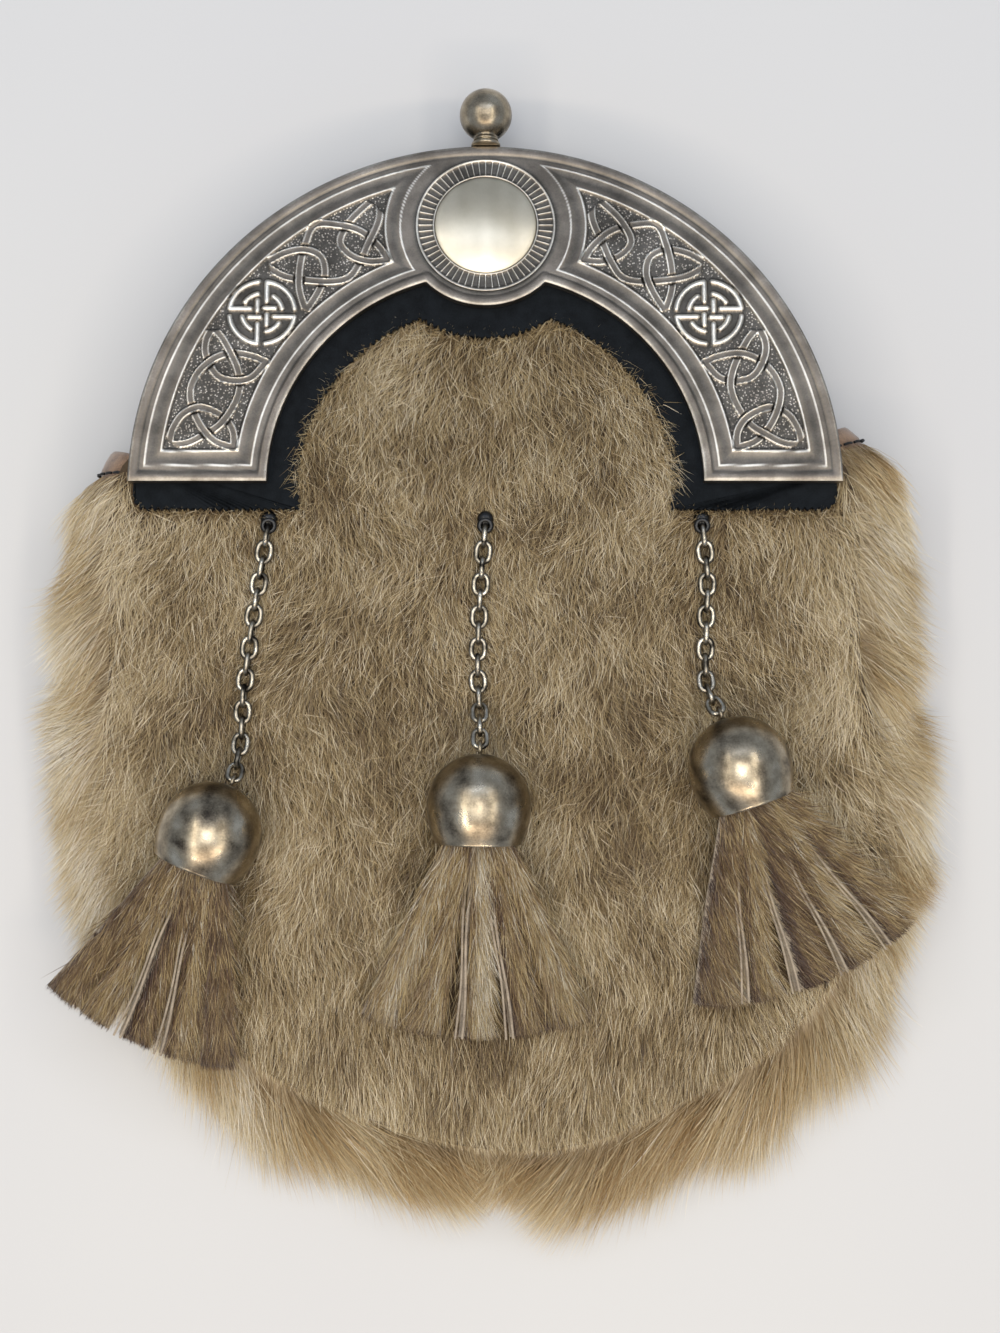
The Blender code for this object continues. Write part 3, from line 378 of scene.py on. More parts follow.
@dataclass(frozen=True)
class AntiquedSilver:
    """White metal, cast and silver plated, blackened with sulphur and rubbed back with a cloth.

    The black stays in what lies deep, and edges and lines that the cloth reaches shine nearly white.
    """

    name: str = "cast_white_metal_antiqued"
    sunk: str = "#2b2a28"
    low: str = "#5d5a55"
    flat: str = "#887f74"
    rubbed: str = "#f3ecdd"
    stain: str = "#8b8074"
    roughness: float = 0.36
    speckle: float = 0.16
    grit: float = 0.45 * MM
    punch: float = 0.62 * MM
    patch: float = 9.0 * MM
    brushed: bool = False

    def make(self) -> bpy.types.Material:
        """Makes the material, which reads the piece's own wear values; on some pieces these also carry painted
        highlight and shadow.

        Returns:
            The material: wear 0 is sunk and black, 1 is rubbed bright.
        """
        made, tree, shader = new_material(self.name)
        wear, punched = (add_node(tree, "Attribute", {"attribute_name": key}, {}, "Fac") for key in ("wear", "stipple"))
        place = add_node(tree, "TexCoord", {}, {}, "Object")
        patches = add_node(tree, "TexNoise", {}, {"Vector": place, "Scale": 1.0 / self.patch, "Detail": 5.0,
                                                  "Roughness": 0.6}, "Fac")
        specks = add_node(tree, "TexNoise", {}, {"Vector": place, "Scale": 1.0 / self.grit, "Detail": 2.0}, "Fac")
        lowered = add_node(tree, "Math", {"operation": "MULTIPLY_ADD"}, {0: patches, 1: 0.34, 2: -0.17})
        shifted = add_node(tree, "Math", {"operation": "ADD", "use_clamp": True}, {0: wear, 1: lowered})
        grained = add_node(tree, "Math", {"operation": "MULTIPLY_ADD", "use_clamp": True},
                           {0: specks, 1: self.speckle, 2: shifted})
        cells = add_node(tree, "TexVoronoi", {}, {"Vector": place, "Scale": 1.0 / self.punch}, "Distance")
        dots = add_node(tree, "MapRange", {}, {"Value": cells, "From Min": 0.46, "From Max": 0.12, "To Max": 0.62})
        dotted = add_node(tree, "Math", {"operation": "MULTIPLY_ADD"}, {0: dots, 1: punched, 2: grained})
        centred = add_node(tree, "Math", {"operation": "SUBTRACT", "use_clamp": True},
                           {0: dotted, 1: self.speckle / 2.0})
        colour = add_node(tree, "ValToRGB", {"stops": ((0.0, self.sunk), (0.24, self.low), (0.52, self.flat),
                                                       (1.0, self.rubbed))}, {"Fac": centred})
        tarnish = add_node(tree, "ValToRGB", {"stops": ((0.35, self.stain), (0.6, "#ffffff"))}, {"Fac": patches})
        stained = add_node(tree, "Mix", {"data_type": "RGBA", "blend_type": "MULTIPLY"},
                           {0: 0.35, 6: colour, 7: tarnish}, 2)
        rough = add_node(tree, "MapRange", {}, {"Value": centred, "To Min": self.roughness + 0.16,
                                                "To Max": self.roughness - 0.08})
        height = specks
        if self.brushed:
            stretched = add_node(tree, "Mapping", {}, {"Vector": place, "Scale": (1.0, 0.03, 1.0)})
            height = add_node(tree, "TexNoise", {}, {"Vector": stretched, "Scale": 1.0 / (0.5 * MM), "Detail": 3.0},
                              "Fac")
        bump = add_node(tree, "Bump", {}, {"Height": height, "Strength": 0.16, "Distance": 0.15 * MM})
        feed(tree, shader, {"Base Color": stained, "Metallic": 1.0, "Roughness": rough, "Normal": bump})
        return made


@dataclass(frozen=True)
class Fur:
    """Natural hair on its hide: each hair dark at its root and pale at its tip, with a soft shine."""

    name: str
    roots: tuple[tuple[float, str], ...]
    tips: tuple[tuple[float, str], ...]
    roughness: float = 0.42
    keratin_ior: float = 1.55
    sheen: float = 0.15

    def make(self) -> bpy.types.Material:
        """Makes the material, which reads each hair's own tone.

        Returns:
            The material, from the root's colour to the tip's.
        """
        made, tree, shader = new_material(self.name)
        tone, along = (add_node(tree, "Attribute", {"attribute_name": key}, {}, "Fac") for key in ("tone", "along"))
        root, tip = (add_node(tree, "ValToRGB", {"stops": stops}, {"Fac": tone}) for stops in (self.roots, self.tips))
        both = add_node(tree, "Mix", {"data_type": "RGBA"}, {0: along, 6: root, 7: tip}, 2)
        feed(tree, shader, {"Base Color": both, "Roughness": self.roughness, "IOR": self.keratin_ior,
                            "Sheen Weight": self.sheen})
        return made


@dataclass(frozen=True)
class Leather:
    """Tanned leather or suede: grain that breaks the light up, with a napped or a waxed face."""

    name: str
    dark: str
    light: str
    roughness: float
    grain: float
    depth: float = 0.2 * MM
    sheen: float = 0.0
    shine: float = 0.5

    def make(self) -> bpy.types.Material:
        """Makes the material from two sizes of grain.

        Returns:
            The material, from its dark to its light colour.
        """
        made, tree, shader = new_material(self.name)
        place = add_node(tree, "TexCoord", {}, {}, "Object")
        coarse = add_node(tree, "TexNoise", {}, {"Vector": place, "Scale": 0.12 / self.grain, "Detail": 4.0}, "Fac")
        fine = add_node(tree, "TexVoronoi", {}, {"Vector": place, "Scale": 1.0 / self.grain}, "Distance")
        both = add_node(tree, "Math", {"operation": "MULTIPLY_ADD"}, {0: fine, 1: 0.35, 2: coarse})
        colour = add_node(tree, "ValToRGB", {"stops": ((0.3, self.dark), (0.85, self.light))}, {"Fac": both})
        bump = add_node(tree, "Bump", {}, {"Height": both, "Strength": 0.5, "Distance": self.depth})
        feed(tree, shader, {"Base Color": colour, "Roughness": self.roughness, "Sheen Weight": self.sheen,
                            "Specular IOR Level": self.shine, "Normal": bump})
        return made


@dataclass(frozen=True)
class PlainCoat:
    """A smooth even surface, such as enamel, waxed thread or a painted table, with a faint cloudiness."""

    name: str
    colour: str
    shade: str
    roughness: float
    patch: float

    def make(self) -> bpy.types.Material:
        """Makes the material from two close colours.

        Returns:
            The material, in soft clouds of both.
        """
        made, tree, shader = new_material(self.name)
        place = add_node(tree, "TexCoord", {}, {}, "Object")
        cloud = add_node(tree, "TexNoise", {}, {"Vector": place, "Scale": 1.0 / self.patch}, "Fac")
        colour = add_node(tree, "ValToRGB", {"stops": ((0.3, self.shade), (0.7, self.colour))}, {"Fac": cloud})
        feed(tree, shader, {"Base Color": colour, "Roughness": self.roughness})
        return made


class Coat(Enum):
    """The furs of the pouch, natural pelts tanned with their hair on."""

    # Short, dense hair that lies flat, in dull browns with pale tips that glint one by one
    FRONT = Fur("taupe_fur_short",
                ((0.0, "#352718"), (0.4, "#705a3b"), (1.0, "#a28c63")),
                ((0.0, "#775e3a"), (0.35, "#b8a06f"), (0.65, "#dac698"), (1.0, "#fff3d8")))
    # Long soft hair, tawny deep down and cream at its ends, which makes the pale rim of the pouch
    SIDE = Fur("cream_fur_long",
               ((0.0, "#54401f"), (0.4, "#8a7350"), (1.0, "#b09a75")),
               ((0.0, "#ab8750"), (0.35, "#d2ba8a"), (0.65, "#eadcb8"), (1.0, "#fffcf2")))
    # Strips cut from darker and lighter parts of the pelt, so that each strip has a tone of its own
    TASSEL = Fur("taupe_fur_strip",
                 ((0.0, "#2a1713"), (0.3, "#4c3624"), (0.6, "#7b6444"), (1.0, "#8f8471")),
                 ((0.0, "#5e4026"), (0.3, "#9a7f51"), (0.55, "#d0b980"), (0.8, "#c4bba6"), (1.0, "#fdf6e2")))


# Form of the pouch, from the sizes of its solids


@dataclass
class PouchForm:
    """Sizes of the pouch's body and what lies on it, in metres, as its solids have them."""

    gap: float = 0.0003
    reach: float = 0.0940
    centre_y: float = -0.0250
    depth: float = 0.0305
    seam_drop: float = 0.0060
    crown_power: float = 3.0
    front_thickness: float = 0.0030
    back_thickness: float = 0.0024
    gusset_bulge: float = 0.0060
    gusset_inset: float = 0.0018
    tilt: float = math.radians(13.0)
    base_y: float = 0.0448
    plane_tilt: float = math.radians(11.0)
    plane_base: float = 0.0432
    top_radius: float = 0.0850
    front_arch_inset: float = 0.0100
    crown_fade: tuple[float, float] = (math.radians(95.0), math.radians(124.0))
    shoulder: tuple[float, float] = (math.radians(126.0), math.radians(144.0))
    # Degrees from straight down, and shares of the reach there at the left and at the right
    rows: tuple[tuple[float, float, float], ...] = (
        (0.0, 0.980, 0.980), (15.0, 0.955, 1.000), (30.0, 0.958, 0.995), (45.0, 0.978, 1.030),
        (60.0, 0.982, 1.050), (75.0, 0.988, 1.045), (90.0, 0.990, 1.025), (105.0, 1.003, 1.002),
        (115.0, 1.068, 1.058), (126.0, 1.180, 1.170), (134.0, 1.280, 1.272), (150.0, 1.300, 1.300),
    )

    def __post_init__(self) -> None:
        """Works out the outline once, for every half degree."""
        self.angles = np.radians(np.arange(-180.0, 180.5, 0.5))
        self.reaches = np.array([self.reach_at(angle) for angle in self.angles])

    def table(self, column: int, position: float) -> float:
        """Reads a column of the outline's rows along a smooth curve.

        Args:
            column: 1 for the left, 2 for the right.
            position: degrees from straight down.

        Returns:
            Share of the reach.
        """
        rows, last = self.rows, len(self.rows) - 2
        start = max(index for index in range(last + 1) if index == 0 or rows[index][0] <= position)
        keys = [rows[min(max(start + step, 0), last + 1)] for step in (-1, 0, 1, 2)]
        width = keys[2][0] - keys[1][0]
        slopes = [(after[column] - before[column]) / (after[0] - before[0]) * width
                  for before, after in ((keys[0], keys[2]), (keys[1], keys[3]))]
        share = min(1.0, max(0.0, (position - keys[1][0]) / width))
        return curve_point((keys[1][column], keys[2][column]), slopes, share)

    def reach_at(self, angle: float) -> float:
        """Reach of the outline, which turns into the arch under the metal top above its shoulders.

        Args:
            angle: angle from straight down, positive to the right.

        Returns:
            Distance from the outline's centre.
        """
        side = self.reach * self.table(2 if angle >= 0.0 else 1, math.degrees(abs(angle)))
        if abs(angle) <= self.shoulder[0]:
            return side
        squeeze = 1.0 / math.cos(self.tilt)
        offset, arch = self.base_y - self.centre_y, self.top_radius - self.front_arch_inset
        across, along = math.sin(abs(angle)), -math.cos(abs(angle))
        square = across ** 2 + (along * squeeze) ** 2
        half = -along * offset * squeeze ** 2
        constant = (offset * squeeze) ** 2 - arch ** 2
        top = (-half + math.sqrt(max(0.0, half ** 2 - square * constant))) / square
        return mix(side, top, float(smooth_step(*self.shoulder, abs(angle))))

    def outline(self, angle: np.ndarray, grow: float | np.ndarray = 0.0) -> np.ndarray:
        """Points of the front's outline in plan at those angles, moved out by grow."""
        reach = np.interp(angle, self.angles, self.reaches) + grow
        return places(np.sin(angle) * reach, self.centre_y - np.cos(angle) * reach)

    def share(self, x: np.ndarray, y: np.ndarray) -> tuple[np.ndarray, np.ndarray]:
        """Angle about the outline's centre, and the share of the way out to the outline."""
        angle = np.arctan2(x, -(y - self.centre_y))
        return angle, np.hypot(x, y - self.centre_y) / np.interp(angle, self.angles, self.reaches)

    def height(self, x: np.ndarray, y: np.ndarray) -> np.ndarray:
        """Height of the front's outer face.

        Args:
            x: places along X.
            y: places along Y.

        Returns:
            Heights, lower near the seam and under the leaning metal top.
        """
        angle, share = self.share(x, y)
        fade = 1.0 - smooth_step(*self.crown_fade, np.abs(angle))
        crown = self.seam_drop * np.minimum(1.0, share) ** self.crown_power * fade
        return self.depth - crown - np.maximum(0.0, y - self.base_y) * math.tan(self.tilt)

    def outward(self, angle: np.ndarray) -> np.ndarray:
        """Directions in plan square to the outline, pointing out."""
        run = self.outline(angle + 0.01) - self.outline(angle - 0.01)
        return unit(places(run[..., 1], -run[..., 0]))

    def gusset(self, angle: np.ndarray, share: np.ndarray, offset: float | np.ndarray) -> np.ndarray:
        """Points of the gusset, which bulges out between the front and the back.

        Args:
            angle: angles from straight down, positive to the right.
            share: 0 at the front, 1 at the back.
            offset: distance out from the gusset's middle surface.

        Returns:
            The points.
        """
        edge = self.outline(angle)
        top = self.height(edge[..., 0], edge[..., 1]) - self.front_thickness - 2.0 * self.gap
        bottom = self.back_thickness + self.gap
        slope_out = self.gusset_bulge * math.pi * np.cos(math.pi * share)
        slope_down = bottom - top
        length = np.hypot(slope_out, slope_down)
        out = -self.gusset_inset + self.gusset_bulge * np.sin(math.pi * share) + offset * -slope_down / length
        height = np.clip(mix(top, bottom, share) + offset * slope_out / length, bottom, top)
        plan = edge + self.outward(angle) * out[..., None]
        return np.concatenate([plan, height[..., None]], axis=-1)

    def on_top(self, across: Any, up: Any, level: Any) -> np.ndarray:
        """Points of the leaning plane of the metal top.

        Args:
            across: places to the right in the plane.
            up: places up in the plane.
            level: heights over the plane.

        Returns:
            The points.
        """
        cosine, sine = math.cos(self.plane_tilt), math.sin(self.plane_tilt)
        return places(across, self.plane_base + up * cosine + level * sine, self.depth - up * sine + level * cosine)


# Fur


@dataclass
class HairSet:
    """A set of hairs: roots, the points that they bend round, tips, widths, tones, and how pale a tip gets."""

    roots: np.ndarray
    bends: np.ndarray
    tips: np.ndarray
    widths: np.ndarray
    tones: np.ndarray
    ends: np.ndarray | None = None

    def __post_init__(self) -> None:
        """Lets every hair reach its full tip colour unless its ends say otherwise."""
        if self.ends is None:
            self.ends = np.ones(len(self.roots))

    def grow(self, name: str, steps: int, seed: int) -> bpy.types.Object:
        """Makes each hair a narrow ribbon that ends in a point.

        Args:
            name: name of the piece.
            steps: stretches that a hair has.
            seed: how the ribbons turn about themselves.

        Returns:
            The piece.
        """
        draw = np.random.default_rng(seed)
        count, each = len(self.roots), 2 * steps + 1
        chord = self.tips - self.roots
        side = unit(np.cross(chord, UP))
        roll = draw.uniform(-1.0, 1.0, count)[:, None]
        across = side * np.cos(roll) + unit(np.cross(side, chord)) * np.sin(roll)
        points, along = np.zeros((count, each, 3)), np.zeros((count, each))
        for step in range(steps):
            way = (step / steps) ** 1.15
            centre = self.roots * (1.0 - way) ** 2 + self.bends * 2.0 * way * (1.0 - way) + self.tips * way ** 2
            half = across * (self.widths * 0.5 * (1.0 - 0.4 * way))[:, None]
            points[:, 2 * step], points[:, 2 * step + 1] = centre - half, centre + half
            along[:, 2 * step] = along[:, 2 * step + 1] = way * self.ends
        points[:, -1], along[:, -1] = self.tips, self.ends
        pattern = [corners for first in range(0, 2 * steps - 2, 2)
                   for corners in ((first, first + 1, first + 3), (first, first + 3, first + 2))]
        pattern.append((each - 3, each - 2, each - 1))
        faces = (np.arange(count) * each)[:, None, None] + np.array(pattern)[None]
        chart = {"tone": np.repeat(np.clip(self.tones, 0.0, 1.0), each), "along": along.ravel()}
        return mesh_piece(name, points, faces.reshape(-1, 3), chart, tuple(chart.values()), smooth=False)

    def part(self, mask: np.ndarray) -> "HairSet":
        """The hairs that the mask picks."""
        return HairSet(*[values[mask] for values in vars(self).values()])


def gather(x: np.ndarray, y: np.ndarray, size: float, seed: int) -> tuple[np.ndarray, np.ndarray, np.ndarray]:
    """Sorts hairs into locks.

    Args:
        x: roots along X, or along any first axis.
        y: roots along Y, or along any second axis.
        size: distance between locks.
        seed: how the locks are jittered.

    Returns:
        Each hair's offset to the middle of its lock along both axes, and the lock's own random value.
    """
    draw = np.random.default_rng(seed)
    column, row = (np.floor(place / size + 0.35 * ripples(x, y, size * 4.0, seed + step)).astype(int)
                   for step, place in enumerate((x, y)))
    side = 512
    pick = draw.uniform(0.0, 1.0, (side, side, 3))[column % side, row % side]
    return ((column + 0.2 + 0.6 * pick[:, 0]) * size - x, (row + 0.2 + 0.6 * pick[:, 1]) * size - y, pick[:, 2])


# Chains, caps and tassels


@dataclass
class Hanger:
    """One hanging set: side, links, turn of its cap, spread, lean of its hair, strips with a bare edge, route.

    The route's rows are steps from the eye to the right and up, and the rise over the front.
    """

    name: str
    side: int
    links: int
    turn: float
    spread: float
    hair_lean: float
    bare_edges: tuple[int, ...]
    route: tuple[tuple[float, float, float], ...]


HANGERS = (
    Hanger("left", -1, 16, math.radians(-22.0), math.radians(19.0), math.radians(-12.0), (4, 5),
           ((0.0, 0.0, 0.0), (-0.0030, -0.0180, 0.0), (-0.0058, -0.0380, 0.0), (-0.0066, -0.0500, 0.0),
            (-0.0074, -0.0570, 0.0030), (-0.0084, -0.0640, 0.0085), (-0.0090, -0.0690, 0.0096))),
    Hanger("centre", 0, 14, math.radians(-1.0), math.radians(22.0), math.radians(-4.0), (4, 5),
           ((0.0, 0.0, 0.0), (-0.0012, -0.0160, 0.0), (-0.0018, -0.0330, 0.0), (-0.0014, -0.0430, 0.0012),
            (-0.0012, -0.0500, 0.0065), (-0.0012, -0.0560, 0.0094), (-0.0012, -0.0640, 0.0096))),
    Hanger("right", 1, 12, math.radians(19.0), math.radians(23.0), math.radians(-24.0), (3, 4, 5, 6),
           ((0.0, 0.0, 0.0), (0.0012, -0.0120, 0.0), (0.0010, -0.0220, 0.0), (0.0008, -0.0330, 0.0),
            (0.0012, -0.0390, 0.0020), (0.0032, -0.0440, 0.0070), (0.0064, -0.0490, 0.0096))),
)


@dataclass
class HangingSet:
    """A chain, its cap and its tassel, in the places that their solids have."""

    form: PouchForm
    hanger: Hanger
    link_half_length: float = 0.00240
    link_half_width: float = 0.00165
    wire: float = 0.00052
    bite: float = 0.00010
    clearance: float = 0.0003
    eye_spacing: float = 0.0517
    eye_y: float = 0.0336
    eye_ring: float = 0.0014
    eye_wire: float = 0.0005
    eye_stud: float = 0.0020
    eye_height: float = 0.0026
    cap_ring: float = 0.0016
    cap_radius: float = 0.0122
    rim_radius: float = 0.0101
    skirt: float = 0.0088
    wall: float = 0.0009
    strip_length: float = 0.0490
    strip_thickness: float = 0.0022
    strip_root: float = 0.0034
    strip_end: float = 0.0078
    layer_rise: float = 0.0024
    nap: float = 0.0020
    fall: float = 0.35
    hair_length: float = 0.0105
    # Tones of the strips' hair, taken in turn
    levels: tuple[float, ...] = (0.30, 0.50, 0.34, 0.50, 0.36, 0.72, 0.46, 0.58)

    def __post_init__(self) -> None:
        """Works out the route, the places of the links, the cap and the mouth."""
        x, gap = self.hanger.side * self.eye_spacing, self.form.gap
        lying = gap + self.link_half_width + self.wire
        self.eye = np.array([x, self.eye_y, self.front(x, self.eye_y) + lying])
        self.curve = self.smooth(np.array([
            (x + across, self.eye_y + along, self.front(x + across, self.eye_y + along) + lying + rise)
            for across, along, rise in self.hanger.route]))
        self.pitch = 2.0 * (self.link_half_length - self.wire) + self.bite
        self.first = self.eye_ring + self.link_half_length - self.eye_wire - self.wire - self.clearance
        last = self.first + (self.hanger.links - 1) * self.pitch
        reach = self.link_half_length + self.cap_ring - 2.0 * self.wire - self.clearance
        self.ring_place = self.point(last + reach)[0]
        self.down = np.array([math.sin(self.hanger.turn), -math.cos(self.hanger.turn), 0.0])
        self.across = np.cross(self.down, UP)
        arm = self.cap_radius + self.cap_ring - self.wire * 0.6
        self.centre = self.ring_place + self.down * arm
        for _ in range(4):
            height = float(self.lying(self.centre[0], self.centre[1])) + self.cap_radius + 2.0 * gap
            level = math.sqrt(max(0.0, arm ** 2 - (height - self.ring_place[2]) ** 2))
            self.centre = np.array([*(self.ring_place + self.down * level)[:2], height])
        self.mouth = self.centre + self.down * self.skirt
        self.inside = self.rim_radius - self.wall - gap

    def front(self, x: float, y: float) -> float:
        """Height of the front at one place."""
        return float(self.form.height(np.array(x), np.array(y)))

    def lying(self, x: np.ndarray | float, y: np.ndarray | float) -> np.ndarray:
        """Height of what a tassel lies on: the front, and beyond its seam the falling fur.

        Args:
            x: places along X.
            y: places along Y.

        Returns:
            The heights.
        """
        x, y = np.asarray(x, float), np.asarray(y, float)
        angle, share = self.form.share(x, y)
        beyond = np.maximum(0.0, (share - 1.0) * np.interp(angle, self.form.angles, self.form.reaches))
        return self.form.height(x, y) - beyond * self.fall

    def smooth(self, rows: np.ndarray, steps: int = 12) -> np.ndarray:
        """Points along a smooth curve through the rows, with a straight run after the last one.

        Args:
            rows: the points that it goes through.
            steps: stretches between two of them.

        Returns:
            The points.
        """
        points = np.concatenate([rows, rows[-1:] + (rows[-1:] - rows[-2:-1]) * 3.0])
        curve = []
        for index, (first, second) in enumerate(zip(points, points[1:])):
            before, after = points[max(index - 1, 0)], points[min(index + 2, len(points) - 1)]
            slopes = ((second - before) * 0.5, (after - first) * 0.5)
            curve += [curve_point((first, second), slopes, step / steps) for step in range(steps)]
        return np.array(curve)

    def point(self, distance: float) -> tuple[np.ndarray, np.ndarray]:
        """Finds a point of the route.

        Args:
            distance: how far along the route.

        Returns:
            Its place and the route's direction there.
        """
        runs = np.diff(self.curve, axis=0)
        steps = np.linalg.norm(runs, axis=1)
        ends = np.concatenate([[0.0], np.cumsum(steps)])
        index = min(int(np.searchsorted(ends, distance, side="right")) - 1, len(steps) - 1)
        share = (distance - ends[index]) / steps[index]
        return mix(self.curve[index], self.curve[index + 1], share), runs[index] / steps[index]

    def link(self, centre: np.ndarray, along: np.ndarray, across: np.ndarray, half_length: float,
             half_width: float, wire: float) -> bpy.types.Object:
        """One link: an oval of round wire.

        Args:
            centre: its middle.
            along: direction of its length.
            across: direction of its width.
            half_length: half its length, to the middle of the wire.
            half_width: half its width, to the middle of the wire.
            wire: half the wire's thickness.

        Returns:
            The link.
        """
        turns = np.linspace(0.0, FULL_TURN, 22, endpoint=False)
        shift = (half_length - half_width) * np.tanh(3.0 * np.cos(turns))
        path = (centre + along * (shift + half_width * np.cos(turns))[:, None]
                + across * (half_width * np.sin(turns))[:, None])
        return tube("link", path, wire, 8, closed=True)

    def build_chain(self, metal: bpy.types.Material, black: bpy.types.Material) -> None:
        """Builds the chain and the eye that it hangs from.

        Args:
            metal: finish of the links.
            black: finish of the eye.
        """
        name, links = self.hanger.name, []
        for index in range(self.hanger.links):
            place, run = self.point(self.first + index * self.pitch)
            across = unit(np.cross(run, UP))
            wide = across if index % 2 else np.cross(across, run)
            links.append(self.link(place, run, wide, self.link_half_length, self.link_half_width, self.wire * 1.22))
        chain = join("cable_chain_" + name, links)
        # Wear, with a painted highlight on the links' tops and painted shade beneath them.
        set_wear_and_shade(chain, 0.30, 0.18, 0.0016, 80 + self.hanger.side, 0.24)
        dress(chain, metal, "chain_metal", "chain_" + name)
        ring = self.link(self.eye, np.array([0.0, -1.0, 0.0]), np.array([1.0, 0.0, 0.0]),
                         self.eye_ring, self.eye_ring, self.eye_wire * 1.25)
        x, y = self.eye[0], self.eye_y + self.eye_ring + self.eye_stud * 0.1
        profile = [(self.eye_stud, 0.0)] + [(self.eye_stud * math.cos(t), self.eye_height * (0.45 + 0.55 * math.sin(t)))
                                            for t in np.linspace(0.0, math.pi / 2.0, 7)]
        stud = revolve("stud", profile, 24)
        stud.data.transform(Matrix.Translation((x, y, self.front(x, y) + self.form.gap)))
        dress(join("black_eye_" + name, [ring, stud]), black, "black_lacquer", "chain_eye_" + name)

    def frame_matrix(self, place: np.ndarray) -> Matrix:
        """Turns a shape made round Z, its mouth up, to the way that the cap lies."""
        turned = Matrix((self.across, np.cross(self.across, self.down), self.down)).transposed().to_4x4()
        return Matrix.Translation(Vector(place)) @ turned

    def build_cap(self, metal: bpy.types.Material) -> None:
        """Builds the hollow cap, with a rolled rim and the ring on its crown.

        Args:
            metal: finish of the cap.
        """
        profile = [(0.0, -self.cap_radius)]
        profile += [(self.cap_radius * math.sin(t), -self.cap_radius * math.cos(t))
                    for t in np.linspace(0.03, math.pi / 2.0, 18)]
        profile += [(mix(self.cap_radius, self.rim_radius, share ** 2), self.skirt * share)
                    for share in (0.2, 0.4, 0.6, 0.8, 0.93)]
        profile += [(self.rim_radius + grow, self.skirt * share)
                    for grow, share in ((0.0002, 0.96), (0.0002, 0.985), (-0.0002, 1.0), (-self.wall, 1.0))]
        inner = self.cap_radius - self.wall
        profile += [(inner * 0.93, self.skirt * 0.4), (inner, 0.0)]
        profile += [(inner * math.cos(t), -inner * math.sin(t)) for t in (0.4, 0.8, 1.2)] + [(0.0, -inner)]
        dome = revolve("dome", profile, 56)
        dome.data.transform(self.frame_matrix(self.centre))
        toward = unit(self.centre - self.ring_place)
        side = unit(np.cross(toward, UP))
        if self.hanger.links % 2 == 0:
            side = unit(np.cross(toward, side))
        ring = self.link(self.ring_place, toward, side, self.cap_ring, self.cap_ring, self.wire)
        cap = join("dome_cap_" + self.hanger.name, [dome, ring])
        set_wear_and_shade(cap, 0.52, 0.16, 0.0035, 31 + self.hanger.side)
        dress(cap, metal, "antiqued_metal", "tassel_cap_" + self.hanger.name)

    def strips(self) -> list[tuple[np.ndarray, np.ndarray, np.ndarray]]:
        """Lays out the strips, three below and five on them.

        Returns:
            Each strip's middle line, its sideways direction and its half widths.
        """
        found = []
        ways = np.linspace(0.0, 1.0, 15)
        for layer, (count, narrow) in enumerate(((3, 0.86), (5, 1.0))):
            for index in range(count):
                share = (2.0 * index / (count - 1) - 1.0) * narrow
                cosine, sine = math.cos(share * self.hanger.spread), math.sin(share * self.hanger.spread)
                run, sideways = self.down * cosine + self.across * sine, self.across * cosine - self.down * sine
                start = self.mouth + self.across * share * self.inside * 0.6 - self.down * self.strip_thickness
                line = start + run * (self.strip_length * ways)[:, None]
                rest = (self.lying(line[:, 0], line[:, 1]) + self.nap + self.strip_thickness / 2.0
                        + layer * self.layer_rise)
                top = self.mouth[2] + self.inside * (0.28 if layer else -0.25)
                line[:, 2] = np.maximum(rest, mix(top, rest, smooth_step(0.0, 0.62, ways)))
                found.append((line, sideways, mix(self.strip_root, self.strip_end, ways) / 2.0))
        return found

    def build_tassel(self, hide: bpy.types.Material, fur: bpy.types.Material, hairs: int = 14500) -> None:
        """Builds the strips of hide with their pale cut edges, and the hair on them.

        Args:
            hide: finish of the strips.
            fur: finish of the hair.
            hairs: number of hairs on the tassel.
        """
        draw = np.random.default_rng(70 + self.hanger.side)
        strips, sets = self.strips(), []
        head = revolve("head", [(0.0, -0.0060), (self.inside, -0.0060), (self.inside, -0.0012), (0.0, -0.0004)], 40)
        head.data.transform(self.frame_matrix(self.mouth))
        pieces = [head]
        for number, (line, sideways, half) in enumerate(strips):
            shares = np.array([-1.0, -0.5, 0.0, 0.5, 1.0])
            arch, tilt = (1.0 - shares ** 2) * 0.0006, shares * draw.uniform(-0.25, 0.25) * 0.0016
            rise = (arch + tilt)[None, :] * np.linspace(0.3, 1.0, len(line))[:, None]
            top = line[:, None] + sideways[None, None] * (half[:, None] * shares)[..., None]
            low = top.copy()
            top[..., 2] += rise + 0.0004
            low[..., 2] += rise - 0.0008
            ring = np.concatenate([top, low[:, ::-1]], axis=1)
            pieces.append(mesh_piece("strip", ring, rod_faces(len(line), ring.shape[1])))
            if number in self.hanger.bare_edges:
                pieces += self.cut_edges(line, sideways, half)
            sets.append(self.strip_hair(draw, line, sideways, half, hairs // len(strips), number))
        dress(join("cut_strips_" + self.hanger.name, pieces), hide, "cream_fur", "tassel_" + self.hanger.name)
        whole = HairSet(*[np.concatenate(values) for values in zip(*[vars(one).values() for one in sets])])
        dress(whole.grow("tassel_fur_" + self.hanger.name, 2, 90 + self.hanger.side), fur, "cream_fur")

    def cut_edges(self, line: np.ndarray, sideways: np.ndarray, half: np.ndarray) -> list[bpy.types.Object]:
        """The pale cut edges of two strips that turn up beside each other, bare of hair.

        Args:
            line: the strip's middle line.
            sideways: its sideways direction.
            half: its half widths.

        Returns:
            The edges.
        """
        ways = np.linspace(0.0, 1.0, len(line))
        edges = []
        for shift, width in ((0.80, 0.00036), (1.16, 0.00030)):
            path = line + sideways * (half * shift)[:, None]
            path[:, 2] += 0.0034 * smooth_step(0.12, 0.50, ways) - 0.0006
            path[:, :2] += sideways[:2] * (0.0003 * np.sin(ways * 9.0 + shift * 20.0))[:, None]
            edges.append(tube("edge", path, width, 6))
        return edges

